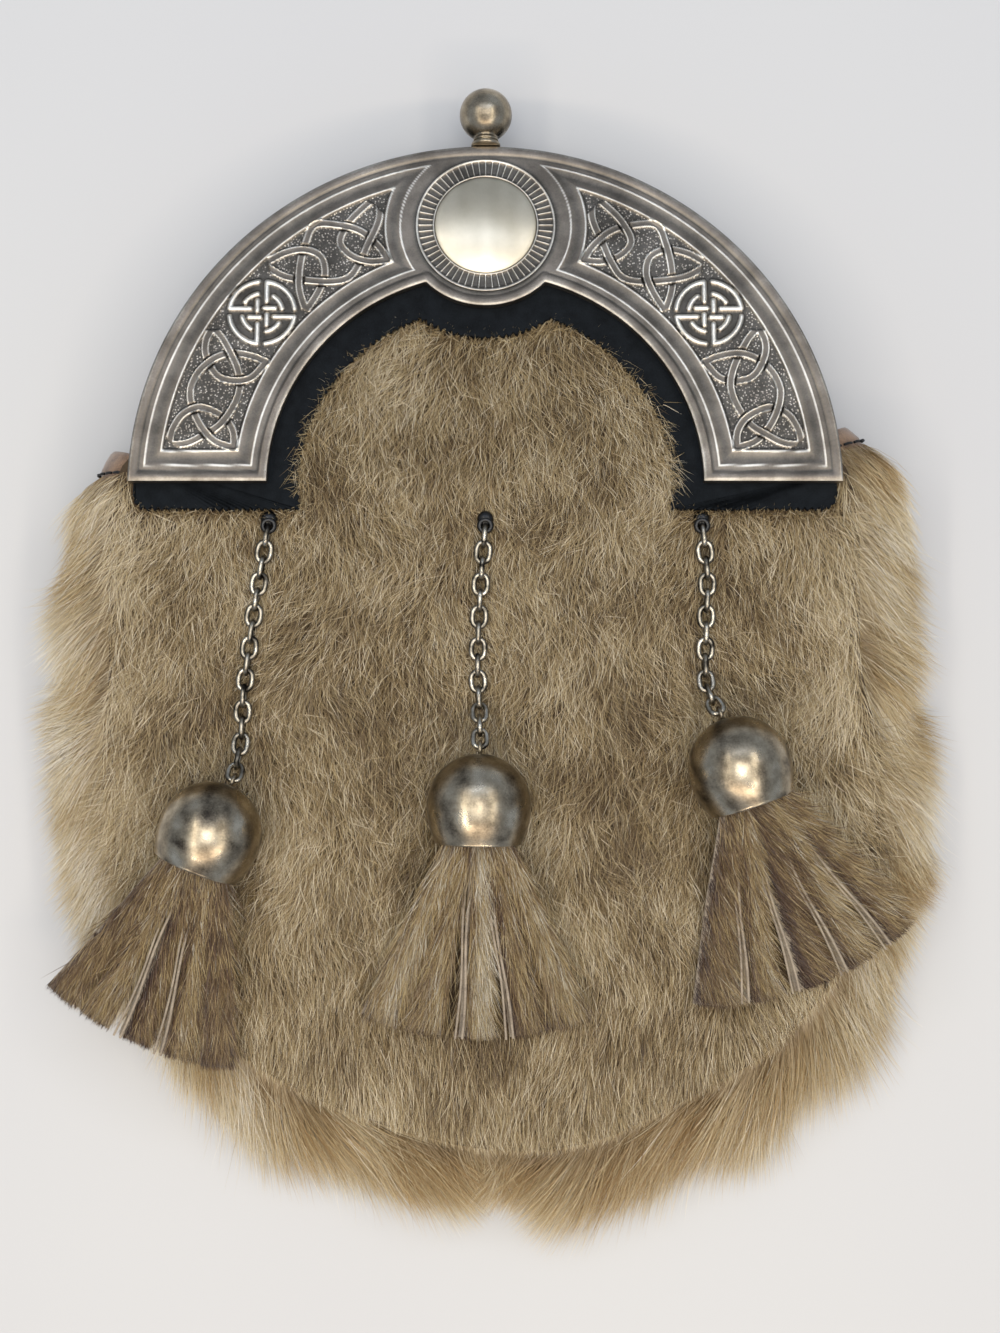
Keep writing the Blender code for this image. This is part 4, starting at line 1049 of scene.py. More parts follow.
    def strip_hair(self, draw: np.random.Generator, line: np.ndarray, sideways: np.ndarray, half: np.ndarray,
                   count: int, number: int) -> HairSet:
        """The hair on one strip, which lies along it with a lean and is cut off with it at its end.

        Args:
            draw: source of random values.
            line: the strip's middle line.
            sideways: its sideways direction.
            half: its half widths.
            count: number of hairs.
            number: which strip.

        Returns:
            The hairs.
        """
        bare = number in self.hanger.bare_edges
        spots = np.linspace(0, 1, len(line))
        way = draw.uniform(0.0, 1.0, count) ** 0.85
        across = draw.uniform(-1.02, 0.72 if bare else 1.02, count)
        spine = places(*[np.interp(way, spots, line[:, axis]) for axis in range(3)])
        roots = spine + sideways * (across * np.interp(way, spots, half))[:, None]
        roots[:, 2] += 0.0004 + 0.0005 * (1.0 - across ** 2)
        lean = self.hanger.hair_lean + draw.normal(0.0, 0.20, count) + 0.16 * math.sin(number * 2.3)
        full = self.hair_length * draw.uniform(0.6, 1.2, count)
        left = (1.0 - way) * self.strip_length / np.maximum(0.5, np.cos(lean)) + 0.0008
        length = np.minimum(full, np.maximum(left, 0.0012))
        aim = unit(line[-1] - line[0])[None] * np.cos(lean)[:, None] + sideways[None] * np.sin(lean)[:, None]
        tips = roots + aim * length[:, None]
        fallen = np.interp(np.minimum(1.0, way + length / self.strip_length), spots, line[:, 2])
        tips[:, 2] = fallen + 0.0006 + draw.gamma(2.5, 0.0005, count)
        bends = mix(roots, tips, 0.45)
        bends[:, 2] = (np.maximum(roots[:, 2], bends[:, 2])
                       + draw.uniform(0.0004, 0.0022, count) * np.minimum(1.0, length / full))
        level = self.levels[(number + 3 * self.hanger.side) % 8] - 0.07 * abs(self.hanger.side)
        strand = ripples(across * 0.003, way * 0.02, 0.0012, 95 + number)
        tones = level + 0.15 * draw.normal(0.0, 1.0, count) + 0.12 * strand - 0.42 * smooth_step(0.88, 1.0, way)
        tones += np.where(draw.uniform(0.0, 1.0, count) < 0.15, 0.30, 0.0)
        # Painted shade: hair darker towards one edge of the strip, most where its cut edges turn up beside it, and
        # darker again along its other edge.
        shade = smooth_step(0.10, 0.62, across) * smooth_step(0.02, 0.25, way)
        tones -= (0.46 if bare else 0.161) * shade + 0.30 * smooth_step(-0.80, -1.0, across)
        widths = draw.uniform(0.00008, 0.00017, count)
        return HairSet(roots, bends, tips, widths, tones, np.minimum(1.0, 0.15 + 0.85 * length / full))


# Hide, thread and the pouch's fur


@dataclass
class HideBody:
    """The front hide, the gusset with its folded hems, the flat back and the black thread."""

    form: PouchForm
    top_left: float = math.radians(132.6)
    top_right: float = math.radians(136.8)
    hem_level: float = 0.40
    level_from: float = math.radians(16.0)
    hem_length: float = 0.0056
    hem_reach: float = 0.118
    wall: float = 0.0020
    hem_wall: float = 0.0032
    push_left: float = 0.0014
    push_right: float = 0.0056
    push_from: tuple[float, float] = (math.radians(118.0), math.radians(129.0))
    stitch_gap: float = 0.105
    stitch_length: float = 0.075
    back_stitches: int = 150
    back_stitch_inset: float = 0.0072

    def wall_place(self, angles: np.ndarray, shares: np.ndarray, offset: float | np.ndarray) -> np.ndarray:
        """Points of the gusset's wall, levelled at its tops, where the hems stand out from the metal top.

        Args:
            angles: angles from straight down, positive to the right.
            shares: shares of the way from the front to the back.
            offset: distance from the wall's middle.

        Returns:
            The points.
        """
        points = self.form.gusset(self.levelled(angles, shares), shares, offset)
        push = np.where(angles > 0.0, self.push_right, -self.push_left) * smooth_step(*self.push_from, np.abs(angles))
        points[..., 0] += push * np.sin(math.pi * np.clip(shares, 0.0, 1.0)) ** 0.6
        return points

    def levelled(self, angles: np.ndarray, shares: np.ndarray) -> np.ndarray:
        """Turns angles back where the gusset bulges, so that the hems end level across the pouch.

        Args:
            angles: angles from straight down, positive to the right.
            shares: shares of the way from the front to the back.

        Returns:
            The new angles.
        """
        limit = np.where(angles > 0.0, self.top_right, self.top_left)
        near = smooth_step(0.0, 1.0, 1.0 - (limit - np.abs(angles)) / self.level_from)
        bulge = self.form.gusset_inset + self.form.gusset_bulge * np.sin(math.pi * shares)
        return angles - np.sign(angles) * near * self.hem_level * bulge / self.hem_reach

    def build_front(self, hide: bpy.types.Material) -> None:
        """Builds the front hide under its fur.

        Args:
            hide: its finish.
        """
        steps, rings = 144, 22
        edge = self.form.outline(np.linspace(-math.pi, math.pi, steps, endpoint=False))
        shares = np.linspace(0.0, 1.0, rings)[:, None]
        x, y = edge[None, :, 0] * shares, mix(self.form.centre_y, edge[None, :, 1], shares)
        height = self.form.height(x, y)
        outer = places(x, y, height + 0.00015 * ripples(x, y, 0.009, 3))
        inner = places(x, y, height - self.form.front_thickness)[::-1]
        piece = mesh_piece("front_hide", np.concatenate([outer, inner]), grid_faces(2 * rings, steps, closed=True))
        dress(piece, hide, "taupe_fur", "front_panel")

    def build_gusset(self, suede: bpy.types.Material, thread: bpy.types.Material) -> None:
        """Builds the gusset with a thicker, rounded fold at each top and its line of black stitches.

        Args:
            suede: finish of the gusset.
            thread: finish of the stitches.
        """
        hem = self.hem_length / float(np.interp(self.top_right, self.form.angles, self.form.reaches))
        fold = np.array([0.0, 0.06, 0.2, 0.5, 0.85, 0.97])
        inner = np.linspace(-self.top_left + hem, self.top_right - hem, 150)
        angles = np.concatenate([-self.top_left + hem * fold, inner, self.top_right - hem * fold[::-1]])
        thick = np.array([0.5, 0.85, 1.0, 1.0, 0.95, 0.7]) * self.hem_wall
        half = np.concatenate([thick, np.full(len(inner), self.wall), thick[::-1]])[:, None] / 2.0
        shares = np.broadcast_to(np.linspace(0.0, 1.0, 13), (len(angles), 13))
        turned = np.broadcast_to(angles[:, None], shares.shape)
        rings = np.concatenate([self.wall_place(turned, shares, half),
                                self.wall_place(turned, shares[:, ::-1], -half)], axis=1)
        dress(mesh_piece("gusset_hide", rings, rod_faces(len(angles), 26)), suede, "brown_hide", "gusset")
        stitches = []
        for angle in (-self.top_left + hem * 1.02, self.top_right - hem * 1.02):
            for index in range(9):
                low = 0.03 + index * self.stitch_gap
                lift = self.hem_wall / 2.0 + 0.0003 * np.sin(np.linspace(0.1, math.pi - 0.1, 6))
                path = self.wall_place(np.full(6, angle), np.linspace(low, low + self.stitch_length, 6), lift)
                stitches.append(tube("stitch", path, 0.00034, 6))
        dress(join("hem_stitches", stitches), thread, "brown_hide")

    def build_back(self, leather: bpy.types.Material, thread: bpy.types.Material) -> None:
        """Builds the flat back with rounded edges, and a line of stitches round it.

        Args:
            leather: finish of the back.
            thread: finish of the stitches.
        """
        back = add_object("back_leather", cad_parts["back_panel"].data.copy())
        bevel = back.modifiers.new("edge", "BEVEL")
        bevel.width, bevel.segments, bevel.limit_method = 0.0006, 2, "ANGLE"
        dress(back, leather, "black_leather", "back_panel")
        stitches = []
        for index in range(self.back_stitches):
            start = -math.pi + FULL_TURN * index / self.back_stitches
            angle = np.linspace(start, start + FULL_TURN / self.back_stitches * 0.62, 4)
            plan = self.form.outline(angle, -self.back_stitch_inset)
            sunk = 0.0001 - 0.00012 * np.sin(np.linspace(0.0, math.pi, 4))
            stitches.append(tube("stitch", places(plan[:, 0], plan[:, 1], sunk), 0.00030, 5))
        dress(join("back_stitches", stitches), thread, "black_leather")


@dataclass
class PouchFur:
    """The fur of the front and of the gusset."""

    form: PouchForm
    body: HideBody
    sets: Sequence[HangingSet]
    front_count: int = 104000
    side_count: int = 50000
    flap_count: int = 1900
    front_length: float = 0.0088
    side_length: float = 0.0185
    flap_reach: float = 0.0450
    # The opening under the boss, and the fur beside the flap's feet, in the plane of the metal top
    boss_up: float = 0.0645
    lobe_reach: float = 0.0262
    foot_corner: tuple[float, float, float] = (0.0806, 0.0028, 0.0036)
    # Degrees from straight down, and the degrees that the gusset's hair leans out from straight down there
    flow: tuple[tuple[float, float], ...] = (
        (0.0, -30.0), (15.0, -32.0), (30.0, -28.0), (42.0, -14.0), (52.0, 8.0), (62.0, 26.0), (75.0, 34.0),
        (90.0, 41.0), (110.0, 51.0), (122.0, 50.0), (128.0, 36.0), (134.0, 22.0))

    def near_chain(self, x: np.ndarray, y: np.ndarray) -> np.ndarray:
        """Finds how close places are to a chain.

        Args:
            x: places along X.
            y: places along Y.

        Returns:
            1 on a chain, 0 from 5 mm away.
        """
        near = np.zeros_like(x)
        for hung in self.sets:
            for place in hung.curve[::3]:
                if place[1] > hung.ring_place[1] - 0.004:
                    away = np.hypot(x - place[0], y - place[1])
                    near = np.maximum(near, 1.0 - smooth_step(0.0012, 0.0050, away))
        return near

    def covered(self, x: np.ndarray, y: np.ndarray, margin: float = 0.0) -> np.ndarray:
        """Finds which places a cap or a tassel hides.

        Args:
            x: places along X.
            y: places along Y.
            margin: how far inside its outline they have to be.

        Returns:
            True where something hides the place.
        """
        hidden = np.zeros(len(x), bool)
        for hung in self.sets:
            hidden |= np.hypot(x - hung.centre[0], y - hung.centre[1]) < hung.cap_radius - margin
            across, along = ((x - hung.mouth[0]) * way[0] + (y - hung.mouth[1]) * way[1]
                             for way in (hung.across, hung.down))
            half = 0.0065 + np.maximum(0.0, along) * math.tan(hung.hanger.spread) - margin
            hidden |= (along > 0.0) & (along < hung.strip_length - 0.006) & (np.abs(across) < half)
        return hidden

    def fall(self, x: np.ndarray, y: np.ndarray) -> np.ndarray:
        """Height of the front, and beyond its seam of the fur that falls away from it."""
        beyond = np.maximum(0.0, (self.form.share(x, y)[1] - 1.0) * self.form.reach)
        return self.form.height(x, y) - beyond * 0.5

    def bare(self, x: np.ndarray, y: np.ndarray) -> np.ndarray:
        """Finds where the front shows no fur.

        Args:
            x: places along X.
            y: places along Y.

        Returns:
            True under the flap, beyond the seam, and well inside a cap or a tassel.
        """
        angle, share = self.form.share(x, y)
        up = (y - self.form.plane_base) / math.cos(self.form.plane_tilt)
        radius, dip, wide = np.hypot(x, up), np.hypot(x, up - self.boss_up), np.abs(x)
        corner_x, corner_up, corner_reach = self.foot_corner
        corner = np.hypot(wide - corner_x, up + corner_up) > corner_reach
        beside = np.where(up < -corner_up, (wide > corner_x) & corner, (wide > 0.0842) & (radius > 0.0845))
        beside &= np.abs(angle) < np.radians(np.where(x < 0.0, 129.8, 134.0))
        shown = ((radius < self.flap_reach + 0.0012) & (dip > self.lobe_reach)) | (up < -0.0052) | beside
        return (share >= 0.995) | ~shown | self.covered(x, y, 0.004)

    def front_set(self) -> HairSet:
        """Lays the hairs of the front, which flow down with swirls, in small locks.

        Returns:
            The hairs.
        """
        draw = np.random.default_rng(11)
        x, y = draw.uniform(-0.100, 0.105, 3 * self.front_count), draw.uniform(-0.122, 0.086, 3 * self.front_count)
        keep = ~self.bare(x, y)
        x, y = x[keep][:self.front_count], y[keep][:self.front_count]
        angle, share = self.form.share(x, y)
        count, rim = len(x), smooth_step(0.78, 0.98, share)
        turn = 0.34 * ripples(x, y, 0.019, 5) + 0.24 * ripples(x, y, 0.006, 6) + draw.normal(0.0, 0.44, count)
        turn = turn * mix(1.0, 0.5, smooth_step(-0.04, -0.09, y)) + 0.35 * (x / 0.09) ** 3
        length = self.front_length * draw.uniform(0.55, 1.25, count) * (1.0 + 0.15 * ripples(x, y, 0.015, 8))
        length *= mix(0.74, 1.0, smooth_step(0.03, -0.06, y)) * (1.0 + 0.35 * rim)
        shift_x, shift_y, lock = gather(x, y, 0.0024, 12)
        pull = 0.26
        tip_x, tip_y = x + np.sin(turn) * length + shift_x * pull, y - np.cos(turn) * length + shift_y * pull
        # Along the bottom the tips end at the seam, in an uneven line
        low = np.abs(angle) < math.radians(62.0)
        tip_share = self.form.share(tip_x, tip_y)[1]
        hem = 1.006 + 0.022 * (lock - 0.5) + draw.normal(0.0, 0.008, count)
        back = np.where(low & (tip_share > hem), (hem - share) / np.maximum(1e-4, tip_share - share), 1.0)
        back = np.clip(back, 0.12, 1.0)
        tip_x, tip_y = mix(x, tip_x, back), mix(y, tip_y, back)
        # Chains, caps and tassels press the hair flat
        quiet = 1.0 - 0.75 * np.maximum(self.near_chain(tip_x, tip_y), self.near_chain(x, y))
        quiet = np.where(self.covered(tip_x, tip_y) | self.covered(x, y), quiet * 0.45, quiet)
        rise = draw.gamma(4.0, 0.25, count) * quiet * mix(0.5, 1.0, back)
        roots = places(x, y, self.form.height(x, y) - 0.0001)
        tips = places(tip_x, tip_y, self.fall(tip_x, tip_y) + 0.0003 + 0.0013 * rise)
        bend_x, bend_y = mix(x, tip_x, 0.42), mix(y, tip_y, 0.42)
        bends = places(bend_x, bend_y, self.form.height(bend_x, bend_y) + 0.0006 + 0.0022 * rise)
        tones = (0.35 + 0.10 * smooth_step(-0.02, 0.06, y) + 0.20 * (lock - 0.5) + 0.12 * ripples(x, y, 0.013, 14)
                 + 0.10 * ripples(x, y, 0.034, 15) + 0.18 * draw.normal(0.0, 1.0, count)
                 + 0.24 * rim * np.where(low, 0.2, 1.0))
        bright = draw.uniform(0.0, 1.0, count) < 0.22
        tones = np.where(bright, tones + 0.46, tones - 0.08)
        widths = draw.uniform(0.00009, 0.00017, count)
        tips[:, 2] += np.where(bright, 0.0005, 0.0) * quiet
        bends[:, 2] += np.where(bright, 0.0006, 0.0) * quiet
        return HairSet(roots, bends, tips, widths, tones)

    def flap_edge_set(self, edge: np.ndarray) -> HairSet:
        """Lays hairs of the front over the flap's free edge.

        Args:
            edge: the free edge in the plane of the metal top, in metres.

        Returns:
            The hairs.
        """
        draw, count = np.random.default_rng(17), self.flap_count
        place = draw.uniform(0.0, len(edge) - 1.001, count)
        first = place.astype(int)
        run = unit(edge[first + 1] - edge[first])
        out = places(-run[:, 1], run[:, 0])
        spot = mix(edge[first], edge[first + 1], (place - first)[:, None])
        spot = spot - out * draw.uniform(0.0004, 0.0030, count)[:, None]
        roots = self.form.on_top(spot[:, 0], spot[:, 1], 0.0)
        roots[:, 2] = self.form.height(roots[:, 0], roots[:, 1])
        turn = draw.normal(0.0, 0.8, count)
        aim = out * np.cos(turn)[:, None] + run * np.sin(turn)[:, None]
        aim[:, 1] -= 0.30
        length = draw.uniform(0.0018, 0.0046, count) * np.where(spot[:, 1] < -0.0025, 0.6, 1.0)
        tips = roots.copy()
        tips[:, :2] += unit(aim) * length[:, None]
        tips[:, 2] = self.form.height(tips[:, 0], tips[:, 1]) + 0.0023 + draw.uniform(0.0, 0.0012, count)
        bends = mix(roots, tips, 0.45)
        bends[:, 2] = tips[:, 2] + 0.0003
        tones = 0.45 + 0.25 * draw.normal(0.0, 1.0, count)
        return HairSet(roots, bends, tips, draw.uniform(0.00008, 0.00016, count), tones)

    def side_lengths(self, angle: np.ndarray, size: np.ndarray) -> np.ndarray:
        """Gives how long the gusset's hair is: fuller towards the bottom, short right at it and at the tops.

        Args:
            angle: angles from straight down, positive to the right.
            size: the same angles without their sign.

        Returns:
            Shares of the usual length.
        """
        right = angle >= math.radians(2.5)
        begin = np.where(right, math.radians(7.0), math.radians(2.0))
        fuller = smooth_step(0.0, math.radians(13.0), size - begin) * np.where(right, 0.66, 0.40)
        past = size - np.where(right, math.radians(9.0), 0.0)
        shares = mix(0.92 + fuller, 1.0, smooth_step(math.radians(38.0), math.radians(64.0), past))
        shares *= 1.0 + np.where(right, 0.0, 0.20) * bell(size - math.radians(25.0), math.radians(9.0))
        return shares * mix(1.0, 0.85, smooth_step(math.radians(120.0), math.radians(131.0), size))

    def side_set(self) -> HairSet:
        """Lays the hairs of the gusset, which stand out, sweep down towards the bottom and fall.

        Returns:
            The hairs.
        """
        draw, count = np.random.default_rng(21), self.side_count
        angle = draw.uniform(math.radians(-129.6), math.radians(133.8), count)
        share = draw.uniform(0.0, 1.0, count) ** 1.15 * 0.9
        size, arc, depth = np.abs(angle), angle * self.form.reach, share * 0.02
        roots, outward = self.body.wall_place(angle, share, 0.0012), self.form.outward(angle)
        flow = np.radians(np.interp(np.degrees(size), *zip(*self.flow)))
        flow = flow + 0.20 * ripples(arc, depth, 0.014, 22) + 0.17 * draw.normal(0.0, 1.0, count)
        shift_arc, shift_share, lock = gather(arc, share * 0.024, 0.0036, 23)
        length = self.side_length * draw.uniform(0.72, 1.15, count) * (1.0 + 0.12 * ripples(arc, depth, 0.012, 24))
        length *= self.side_lengths(angle, size)
        aim = places(np.where(angle < math.radians(2.5), -1.0, 1.0) * np.sin(flow), -np.cos(flow))
        along_seam = places(-outward[:, 1], outward[:, 0])
        tip_plan = roots[:, :2] + aim * length[:, None] + along_seam * (shift_arc * 0.5)[:, None]
        reach = length * np.clip((aim * outward).sum(axis=1), 0.0, 1.0)
        drop = mix(0.30, 0.55, draw.uniform(0.0, 1.0, count)) * reach + 0.0015 * share
        tip_z = np.maximum(0.0008 + 0.002 * draw.uniform(0.0, 1.0, count), roots[:, 2] - drop + shift_share * 0.4)
        tips = places(tip_plan[:, 0], tip_plan[:, 1], tip_z)
        bends = mix(roots, tips, 0.42)
        bends[:, :2] += outward * (0.0020 * draw.uniform(0.2, 1.2, count))[:, None]
        stand = ((1.0 - share) * 0.0030 + 0.0012) * draw.uniform(0.3, 1.2, count)
        bends[:, 2] = np.maximum(0.0010, bends[:, 2] + stand)
        # Hair under a cap or a tassel lies lower, out of its way
        hugging = self.covered(tips[:, 0], tips[:, 1]) | self.covered(bends[:, 0], bends[:, 1])
        for line, floor in ((tips, 0.0008), (bends, 0.0010)):
            line[:, 2] = np.maximum(floor, line[:, 2] - np.where(hugging, 0.003, 0.0))
        shadow = ((1.0 - smooth_step(math.radians(20.0), math.radians(60.0), size))
                  * (1.0 - smooth_step(0.1, 0.5, share)))
        tones = (0.50 + 0.40 * (lock - 0.5) + 0.20 * ripples(arc, depth, 0.012, 26)
                 + 0.20 * draw.normal(0.0, 1.0, count) - 0.24 * shadow)
        return HairSet(roots, bends, tips, draw.uniform(0.00008, 0.00017, count), tones)

    def build(self, edge: np.ndarray) -> None:
        """Grows both furs, in pieces of a size that is easy to handle.

        Args:
            edge: the flap's free edge, in the plane of the metal top.
        """
        front, side = Coat.FRONT.value.make(), Coat.SIDE.value.make()
        hairs = self.front_set()
        upper = hairs.roots[:, 1] >= np.median(hairs.roots[:, 1])
        for name, mask, seed in (("front_fur_upper", upper, 41), ("front_fur_lower", ~upper, 42)):
            dress(hairs.part(mask).grow(name, 2, seed), front, "taupe_fur")
        dress(self.flap_edge_set(edge).grow("front_fur_at_flap", 2, 45), front, "taupe_fur")
        hairs = self.side_set()
        left = hairs.roots[:, 0] < 0.0
        dress(hairs.part(left).grow("side_fur_left", 3, 43), side, "cream_fur", "gusset_fur")
        dress(hairs.part(~left).grow("side_fur_right", 3, 44), side, "cream_fur")
        self.build_underfur(side)

    def build_underfur(self, finish: bpy.types.Material) -> None:
        """Builds the dense woolly fur close to the gusset, which the long hairs stand out of.

        Args:
            finish: its finish.
        """
        angle = np.linspace(math.radians(-129.0), math.radians(133.2), 320)
        turns = np.linspace(0.0, 1.0, 9)
        wide, deep = np.broadcast_arrays(angle[:, None], turns)
        arch = np.sin(math.pi * turns)
        lumps = 0.0009 * ripples(wide * self.form.reach, deep * 0.02, 0.0035, 51)
        puff = (0.0012 + 0.0048 * arch ** 0.7)[None, :] + lumps * arch[None, :]
        outer = self.body.wall_place(wide, mix(0.02, 0.88, deep), 0.0013)
        ends = smooth_step(angle[0], angle[0] + 0.40, angle) * smooth_step(angle[-1], angle[-1] - 0.40, angle)
        outer[..., :2] += self.form.outward(angle)[:, None] * (puff * ends[:, None])[..., None]
        points = outer.reshape(-1, 3)
        chart = {"tone": np.clip(0.35 + 0.25 * ripples(points[:, 0], points[:, 1], 0.004, 52), 0.0, 1.0),
                 "along": np.full(len(points), 0.18)}
        piece = mesh_piece("side_underfur", points, grid_faces(*wide.shape), chart, tuple(chart.values()))
        solid = piece.modifiers.new("depth", "SOLIDIFY")
        solid.thickness, solid.offset = 0.0006, -1.0
        dress(piece, finish, "cream_fur")


# Metal


@dataclass
class MetalTop:
    """The half ring with its frame lines, knots, roundels and boss, in millimetres in its own plane."""

    form: PouchForm
    radius: float = 85.0
    inner: float = 52.0
    seat: float = 2.6
    thickness: float = 2.2
    lobe: float = 20.5
    boss_up: float = 64.5
    boss: float = 17.0
    disc: float = 12.35
    ribs: int = 60
    frame_inset: float = 3.8
    panel_inset: float = 7.4
    strand: float = 1.9
    gap_beside: float = 0.42
    pass_length: float = 9.0
    knot_reach: float = 16.0
    roundel: float = 8.75
    roundel_angle: float = math.radians(38.0)
    bar: float = 0.74
    # Fineness of the sheet: columns at the foot, over a panel and over the boss; rows of each border and between
    columns: tuple[int, int, int] = (14, 300, 98)
    rows: tuple[int, int, int] = (30, 72, 30)
    # Each knot's strand as degrees from the foot and shares of the panel's width, and its pointed corners
    knots: tuple[tuple[tuple[tuple[float, float], ...], tuple[float, ...]], ...] = ((
        ((70.2, .97), (66.7, .88), (63.1, .77), (59.7, .59), (60.0, .35), (62.9, .15), (66.9, .06), (66.2, .30),
         (64.2, .59), (61.0, .80), (57.2, .96), (53.6, .80), (50.0, .59), (46.9, .36), (44.5, .08), (49.3, .16),
         (53.2, .31), (54.7, .54), (53.0, .75), (49.6, .88), (45.3, .95), (46.5, .64), (49.5, .38), (53.6, .16),
         (57.3, .09), (61.1, .20), (64.5, .38), (68.6, .65)), (70.2, 66.9, 44.5, 45.3)), (
        ((30.4, .93), (27.2, .90), (24.7, .79), (22.2, .56), (22.5, .32), (24.7, .13), (29.4, .06), (29.0, .27),
         (27.6, .52), (25.2, .69), (21.8, .80), (18.1, .82), (14.7, .72), (11.3, .54), (8.7, .32), (7.8, .06),
         (11.4, .11), (13.9, .25), (15.0, .46), (14.9, .65), (12.8, .82), (9.6, .90), (6.7, .91), (7.6, .67),
         (9.7, .48), (12.3, .31), (16.6, .21), (21.4, .21), (24.8, .33), (27.5, .53), (29.4, .73)),
        (30.4, 29.4, 7.8, 6.7)))

    def strand_path(self, rows: Sequence[tuple[float, float]], pointed: Sequence[float]) -> np.ndarray:
        """Draws a knot's strand as a closed line with many points, sharp at its pointed corners.

        Args:
            rows: the strand's rows.
            pointed: degrees of its pointed corners.

        Returns:
            The line.
        """
        table = np.array(rows)
        reach = mix(self.inner + self.panel_inset, self.radius - self.panel_inset, table[:, 1])
        turn = np.radians(table[:, 0])
        points = places(reach * np.cos(turn), reach * np.sin(turn))
        sharp = [any(abs(row[0] - corner) < 0.01 for corner in pointed) for row in rows]
        count, steps = len(points), 6
        path = []
        for index in range(count):
            after = (index + 1) % count
            run = points[after] - points[index]
            slopes = (run if sharp[index] else (points[after] - points[index - 1]) * 0.5,
                      run if sharp[after] else (points[(index + 2) % count] - points[index]) * 0.5)
            path += [curve_point((points[index], points[after]), slopes, step / steps) for step in range(steps)]
        return np.array(path)

    def crossings(self, path: np.ndarray) -> dict[float, float]:
        """Finds where a strand crosses itself.

        Args:
            path: the strand's line.

        Returns:
            Each crossing's place along the strand, to the place where the other pass is there.
        """
        count, runs = len(path), np.roll(path, -1, axis=0) - path
        found = {}
        for first in range(count):
            for second in range(first + 3, min(count, first + count - 2)):
                r, s, gap = runs[first], runs[second], path[second] - path[first]
                area = r[0] * s[1] - r[1] * s[0]
                if abs(area) < 1e-9:
                    continue
                t, u = (gap[0] * s[1] - gap[1] * s[0]) / area, (gap[0] * r[1] - gap[1] * r[0]) / area
                if 0.0 <= t < 1.0 and 0.0 <= u < 1.0:
                    found |= {first + t: second + u, second + u: first + t}
        return found

    def nearest(self, path: np.ndarray, spots: np.ndarray) -> tuple[np.ndarray, np.ndarray]:
        """Finds the two nearest passes of a strand.

        Args:
            path: the strand's line.
            spots: the points to find them for.

        Returns:
            Distances to both passes, and their places along the strand, the nearest first.
        """
        count, runs = len(path), np.roll(path, -1, axis=0) - path
        best, best_at = np.full((2, len(spots)), 9.0), np.zeros((2, len(spots)))
        for index, run in enumerate(runs):
            share = np.clip(((spots - path[index]) @ run) / float(run @ run), 0.0, 1.0)
            away = np.hypot(*(spots - path[index] - share[:, None] * run).T)
            at = index + share
            same = np.minimum(np.abs(at - best_at[0]), count - np.abs(at - best_at[0])) < self.pass_length
            closer = away < best[0]
            second = ~closer & ~same & (away < best[1])
            for values, value in ((best, away), (best_at, at)):
                values[1] = np.where(closer & ~same, values[0], np.where(second, value, values[1]))
                values[0] = np.where(closer, value, values[0])
        return best, best_at

    def knot(self, x: np.ndarray, y: np.ndarray, rows: Sequence[tuple[float, float]], pointed: Sequence[float],
             swap: np.ndarray) -> tuple[np.ndarray, np.ndarray]:
        """Relief and wear of one knot.

        Args:
            x: places to the right, in millimetres.
            y: places up, in millimetres.
            rows: the strand's rows.
            pointed: degrees of its pointed corners.
            swap: where the strand that passes over is the other one.

        Returns:
            Height over the sunk ground, and wear, both 0 where there is no strand.
        """
        path = self.strand_path(rows, pointed)
        other = self.crossings(path)
        passes = np.array(sorted(other))
        partner = np.array([np.searchsorted(passes, other[place]) for place in passes])
        near = np.hypot(x - path[:, 0].mean(), y - path[:, 1].mean()) < self.knot_reach
        best, best_at = self.nearest(path, places(x[near], y[near]))
        gaps = np.abs(best_at[..., None] - passes)
        gaps = np.minimum(gaps, len(path) - gaps)
        pick = gaps.argmin(axis=2)
        over = (pick % 2 == 0) ^ swap[near]
        half, clear = self.strand / 2.0, self.strand / 2.0 + self.gap_beside
        crossing = (best[1] < clear) & (gaps[0].min(axis=1) < self.pass_length) & (partner[pick[0]] == pick[1])
        hidden = crossing & ~over[0] & over[1]
        away = np.where(hidden & (best[1] < half), best[1], best[0])
        in_gap = hidden & (best[1] >= half)
        edge_line = bell(away - half * 0.82, 0.17)
        soft = 1.0 - smooth_step(half - 0.10, half + 0.16, away)
        height, wear = np.zeros_like(x), np.zeros_like(x)
        height[near] = np.where(in_gap, -0.10, (0.24 + 0.12 * edge_line) * soft)
        wear[near] = np.where(in_gap, -0.20, (0.17 + 0.72 * edge_line) * np.where(away < half, 1.0, soft))
        return height, wear

